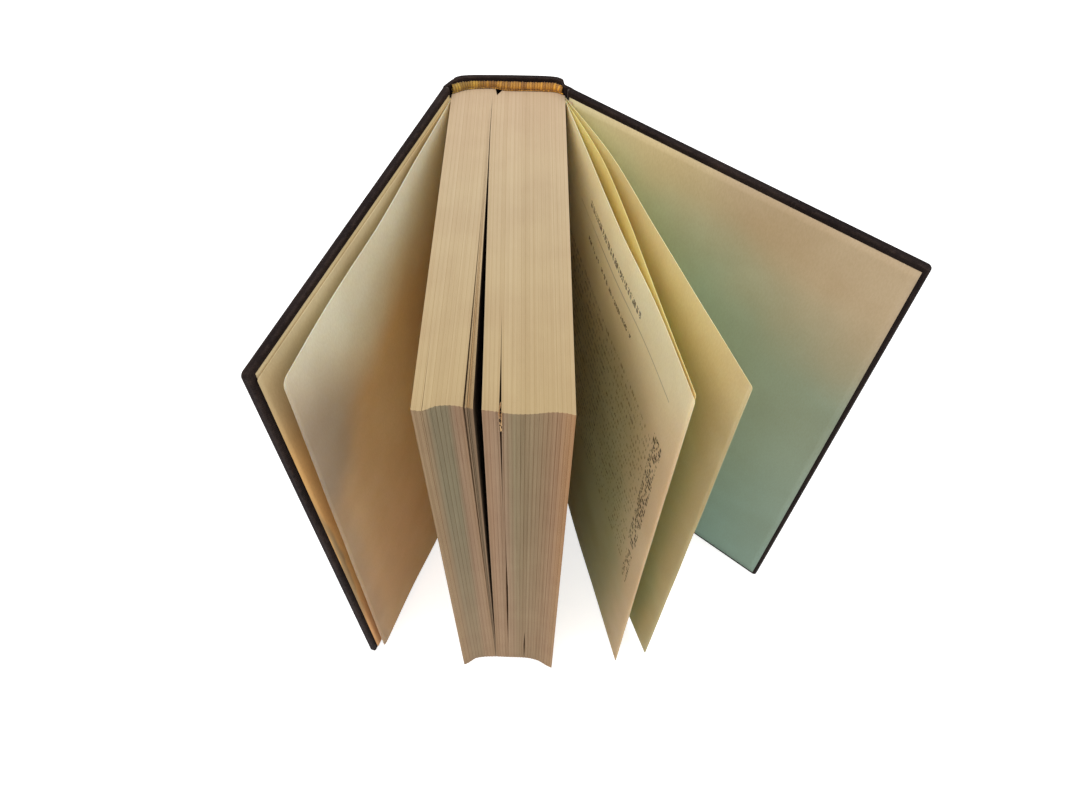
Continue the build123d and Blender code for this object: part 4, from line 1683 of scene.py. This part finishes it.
@dataclass(frozen=True)
class PaperWork:
    """The pages, the loose leaves and the endpapers."""

    def build_pages(self) -> None:
        """Makes the pages in place of their plain solid, and the torn bits on them."""
        pages = TextBlock().build(PageEdges().build())
        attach(pages, "book_block")
        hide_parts("text_block")
        LOG.info("pages: %d faces", len(pages.data.polygons))
        torn = TornPaper().build(PlainLayer("torn_paper", (222, 184, 132), (160, 110, 66)).build())
        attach(torn, "book_block")
        LOG.info("torn paper bits: %d faces", len(torn.data.polygons))

    def build_loose(self) -> None:
        """Makes the leaves that stand away from the pages."""
        sheets = (
            (
                LooseSheet(
                    "front_loose_page", Side.FRONT, 2.2 * MM, 118.6 * MM, 16.3, (-0.2, -0.7, 0.2),
                    17.9, (-1.2, -2.2, -0.6), (0.737, 0.139, -0.043), corner=2.6 * MM,
                ),
                LeafPaper(
                    "page_paper", (224, 192, 140), (234, 196, 144), (204, 174, 138),
                    (
                        # Painted light: a pale band along the top and cool grey bands along the
                        # outer edge, where the light falls.
                        Field((236, 236, 218), (0.5, 1.1), (0.9, 0.34), 0.95, -8.0, 0.45),
                        Field((178, 158, 132), (1.04, 0.3), (0.16, 0.9)),
                        Field((164, 152, 136), (1.0, 0.8), (0.32, 0.24)),
                        # Painted shade: warm brown in the lower middle, where the leaf lies in
                        # shade.
                        Field((222, 176, 138), (0.72, 0.2), (0.4, 0.5), 0.6, core=0.0),
                    ),
                    thin=0.8,
                ),
                "front_loose_leaf", "pages",
            ),
            (
                LooseSheet(
                    "front_flyleaf_sheet", Side.FRONT, 1.1 * MM, 120.8 * MM, 19.1, (0.0, 0.0, 0.0),
                    19.0,
                    (0.0, 0.0, 0.0), (0.939, 0.147, 0.008), thickness=0.15 * MM, ripple=0.08 * MM,
                ),
                LeafPaper(
                    "front_flyleaf_paper", (236, 206, 150), (214, 178, 122), (186, 164, 118),
                    (
                        # Painted light: a pale band along the top.
                        Field((246, 230, 192), (0.6, 1.06), (0.6, 0.34), 0.95, -8.0),
                        Field((250, 196, 126), (0.98, 0.44), (0.2, 0.6), 0.95, core=0.5),
                        Field((236, 180, 128), (0.96, 0.0), (0.4, 0.4), 0.8),
                        # Painted shade: a narrow dark strip down the outer margin, where the
                        # flyleaf is shaded against the board.
                        Field((150, 134, 108), (1.0, 0.42), (0.018, 0.36), 0.7),
                    ),
                ),
                "front_flyleaf", "endpapers",
            ),
            (
                LooseSheet(
                    "back_loose_page", Side.BACK, 1.5 * MM, 122.2 * MM, 14.2, (-0.1, -0.3, 0.7),
                    13.6, (-0.9, -1.2, -0.4), (0.32, 0.024, 0.019),
                ),
                LeafPaper(
                    "printed_page_paper", (202, 178, 126), (188, 184, 146), (216, 190, 155),
                    (
                        # Painted shade: a dull greenish patch over the middle and lower part, where
                        # the leaf lies in shade.
                        Field((172, 178, 142), (0.66, 0.3), (0.34, 0.7), core=0.2),
                        # Painted light: a beige band along the outer edge and a pale band along the
                        # top, where the light falls.
                        Field((214, 189, 154), (1.02, 0.4), (0.14, 1.2)),
                        Field((255, 240, 200), (0.25, 1.12), (1.15, 0.42), 1.0, core=0.5),
                    ),
                    thin=0.8,
                    print_rows=self.marks(),
                ),
                "back_loose_leaves", "pages",
            ),
            (
                LooseSheet(
                    "back_loose_page_behind", Side.BACK, 1.5 * MM, 120.6 * MM,
                    14.6, (3.2, 2.8, 1.3), 14.0, (2.6, 2.6, 1.0), (0.377, -0.093, 0.01),
                ),
                LeafPaper(
                    # Painted light: very pale colours and a pale band along the top, to offset the
                    # shade this leaf lies in.
                    "second_page_paper", (255, 240, 178), (255, 236, 172), (224, 200, 150),
                    (Field((252, 230, 156), (0.4, 1.08), (0.9, 0.34), 0.95),),
                    thin=0.8,
                ),
                "back_loose_leaves", "pages",
            ),
            (
                LooseSheet(
                    "back_flyleaf_sheet", Side.BACK, 0.1 * MM, 123.8 * MM, 21.1, (2.5, 1.6, 0.7),
                    19.8,
                    (0.6, 0.5, 0.2), (0.45, -0.066, 0.024), thickness=0.15 * MM,
                ),
                LeafPaper(
                    "flyleaf_paper", (236, 224, 152), (208, 214, 150), (196, 184, 142),
                    (
                        Field((196, 206, 140), (0.6, 0.66), (0.36, 0.5), 0.8, -20.0),
                        Field((176, 186, 142), (0.84, 0.15), (0.13, 0.95), 0.85),
                        # Painted light: a pale band along the top.
                        Field((238, 222, 176), (0.5, 1.1), (0.9, 0.3)),
                    ),
                    thin=0.8,
                ),
                "back_flyleaf", "endpapers",
            ),
        )
        for sheet, finish, node, slot in sheets:
            piece = sheet.build(finish.build())
            sheet.hang(piece)
            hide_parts(node)
            LOG.info("loose sheet %s: %d faces", sheet.name, len(piece.data.polygons))

    @staticmethod
    def marks() -> tuple[MarkRows, ...]:
        """Gives the back page's marks: headings with a rule, a column of short marks, and rows."""
        return (
            MarkRows((0.285, 0.68), (0.928, 0.941), 1, 0.0, 0.95, 92.0, 0.62, 0.85, 0.0),
            MarkRows((0.2, 0.9), (0.8985, 0.902), 1, 0.012, 1.5, 1.0, 2.4, 0.4, 3.0),
            MarkRows((0.29, 0.66), (0.86, 0.87), 1, 0.0, 0.8, 90.0, 0.7, 0.8, 5.0),
            MarkRows((0.872, 0.928), (0.47, 0.815), 30, 0.0, 0.72, 66.0, 0.62, 0.9, 9.0),
            MarkRows((0.882, 0.925), (0.33, 0.45), 10, 0.0, 0.7, 70.0, 0.45, 0.75, 19.0),
            MarkRows((0.12, 0.52), (0.36, 0.79), 24, 0.0, 0.45, 80.0, 0.56, 0.42, 12.0),
            MarkRows((0.5, 0.86), (0.36, 0.79), 24, 0.0, 0.34, 120.0, 0.36, 0.55, 15.0),
        )

    def build_pastedowns(self) -> None:
        """Makes the papers glued to the covers, and the hinges that join them to the pages."""
        papers = (
            (
                Pastedown(Side.FRONT, 120.5 * MM),
                LeafPaper(
                    "front_pastedown_paper", (214, 190, 142), (216, 196, 152), (220, 200, 158),
                    # Painted shade: darker towards the lower outer corner, where the flyleaf shades
                    # the paper.
                    (Field((160, 138, 106), (0.95, 0.0), (0.4, 0.6), 0.7, core=0.0),),
                ),
            ),
            (
                Pastedown(Side.BACK, 121.6 * MM),
                LeafPaper(
                    "back_pastedown_paper", (234, 234, 188), (184, 200, 174), (160, 172, 152),
                    (
                        # Painted shadow: a grey-green field over the lower part, where the leaves
                        # cast their shadow.
                        Field((154, 182, 172), (0.6, -0.1), (1.1, 0.75), 0.95, core=0.2),
                        # Painted light: beige over the upper outer part and a pale band at the top
                        # by the hinge, where the light falls.
                        Field((206, 183, 152), (0.68, 1.25), (1.2, 0.54), 1.0, -17.0, 0.56),
                        Field((230, 208, 162), (0.1, 1.06), (0.5, 0.16), 0.9, -14.0),
                    ),
                ),
            ),
        )
        for pastedown, finish in papers:
            side, material = pastedown.side, finish.build()
            EndpaperHinge(side).build(material)
            piece = pastedown.build(material)
            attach(piece, side.body)
            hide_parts(f"{side.label}_pastedown")
            LOG.info("%s: %d faces", piece.name, len(piece.data.polygons))


@dataclass(frozen=True)
class Case:
    """The covers, the spine wall and the linings, which keep their CAD shapes.

    Attributes:
        folds: For each side, where the cloth of its joint turns.
    """

    folds: tuple[tuple[Side, tuple[float, float]], ...] = (
        (Side.FRONT, (1.4, -0.9)),
        (Side.BACK, (0.9, -2.0)),
    )

    @staticmethod
    def dress(node: str, material: Material, slot: str) -> None:
        """Gives a CAD node a finished material."""
        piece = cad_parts[node]
        piece.data.materials.clear()
        piece.data.materials.append(material)
        LOG.info("dressed %s", node)

    def build(self) -> None:
        """Gives the case's CAD nodes their finish, and makes the joints' cloth and the bands."""
        board = PlainLayer("greyboard", (74, 64, 58), (54, 46, 42)).build()
        spine_paper = PlainLayer("spine_card", (168, 148, 116), (140, 120, 92)).build()
        gauze = PlainLayer("spine_gauze", (200, 188, 160), (120, 106, 84), 900.0).build()
        for side, fold in self.folds:
            cloth = BookCloth(f"{side.label}_cloth", side.sign * (90.0 - side.open_angle)).build()
            self.dress(f"{side.label}_board", board, "board")
            self.dress(f"{side.label}_cover_cloth", cloth, "case_cloth")
            self.dress(f"{side.label}_mull_flange", gauze, "mull")
            piece = JointCloth(side, fold).build(cloth)
            LOG.info("%s: %d faces", piece.name, len(piece.data.polygons))
        self.dress("spine_cloth", BookCloth("spine_wall_cloth").build(), "case_cloth")
        self.dress("spine_inlay", board, "board")
        self.dress("spine_lining", spine_paper, "spine_paper")
        self.dress("spine_mull", gauze, "mull")
        thread = BandThread().build()
        Band("headband", HEAD, 1).build(thread)
        Band("tailband", TAIL, -1).build(thread)


def main() -> None:
    """Builds the book's looks in order."""
    logging.basicConfig(level=logging.INFO, format="%(name)s: %(message)s")
    Camera().build()
    Studio().build()
    Finish.effects = SharedEffects()
    paper = PaperWork()
    paper.build_pages()
    paper.build_loose()
    paper.build_pastedowns()
    Case().build()


if __name__ == "__main__":
    main()
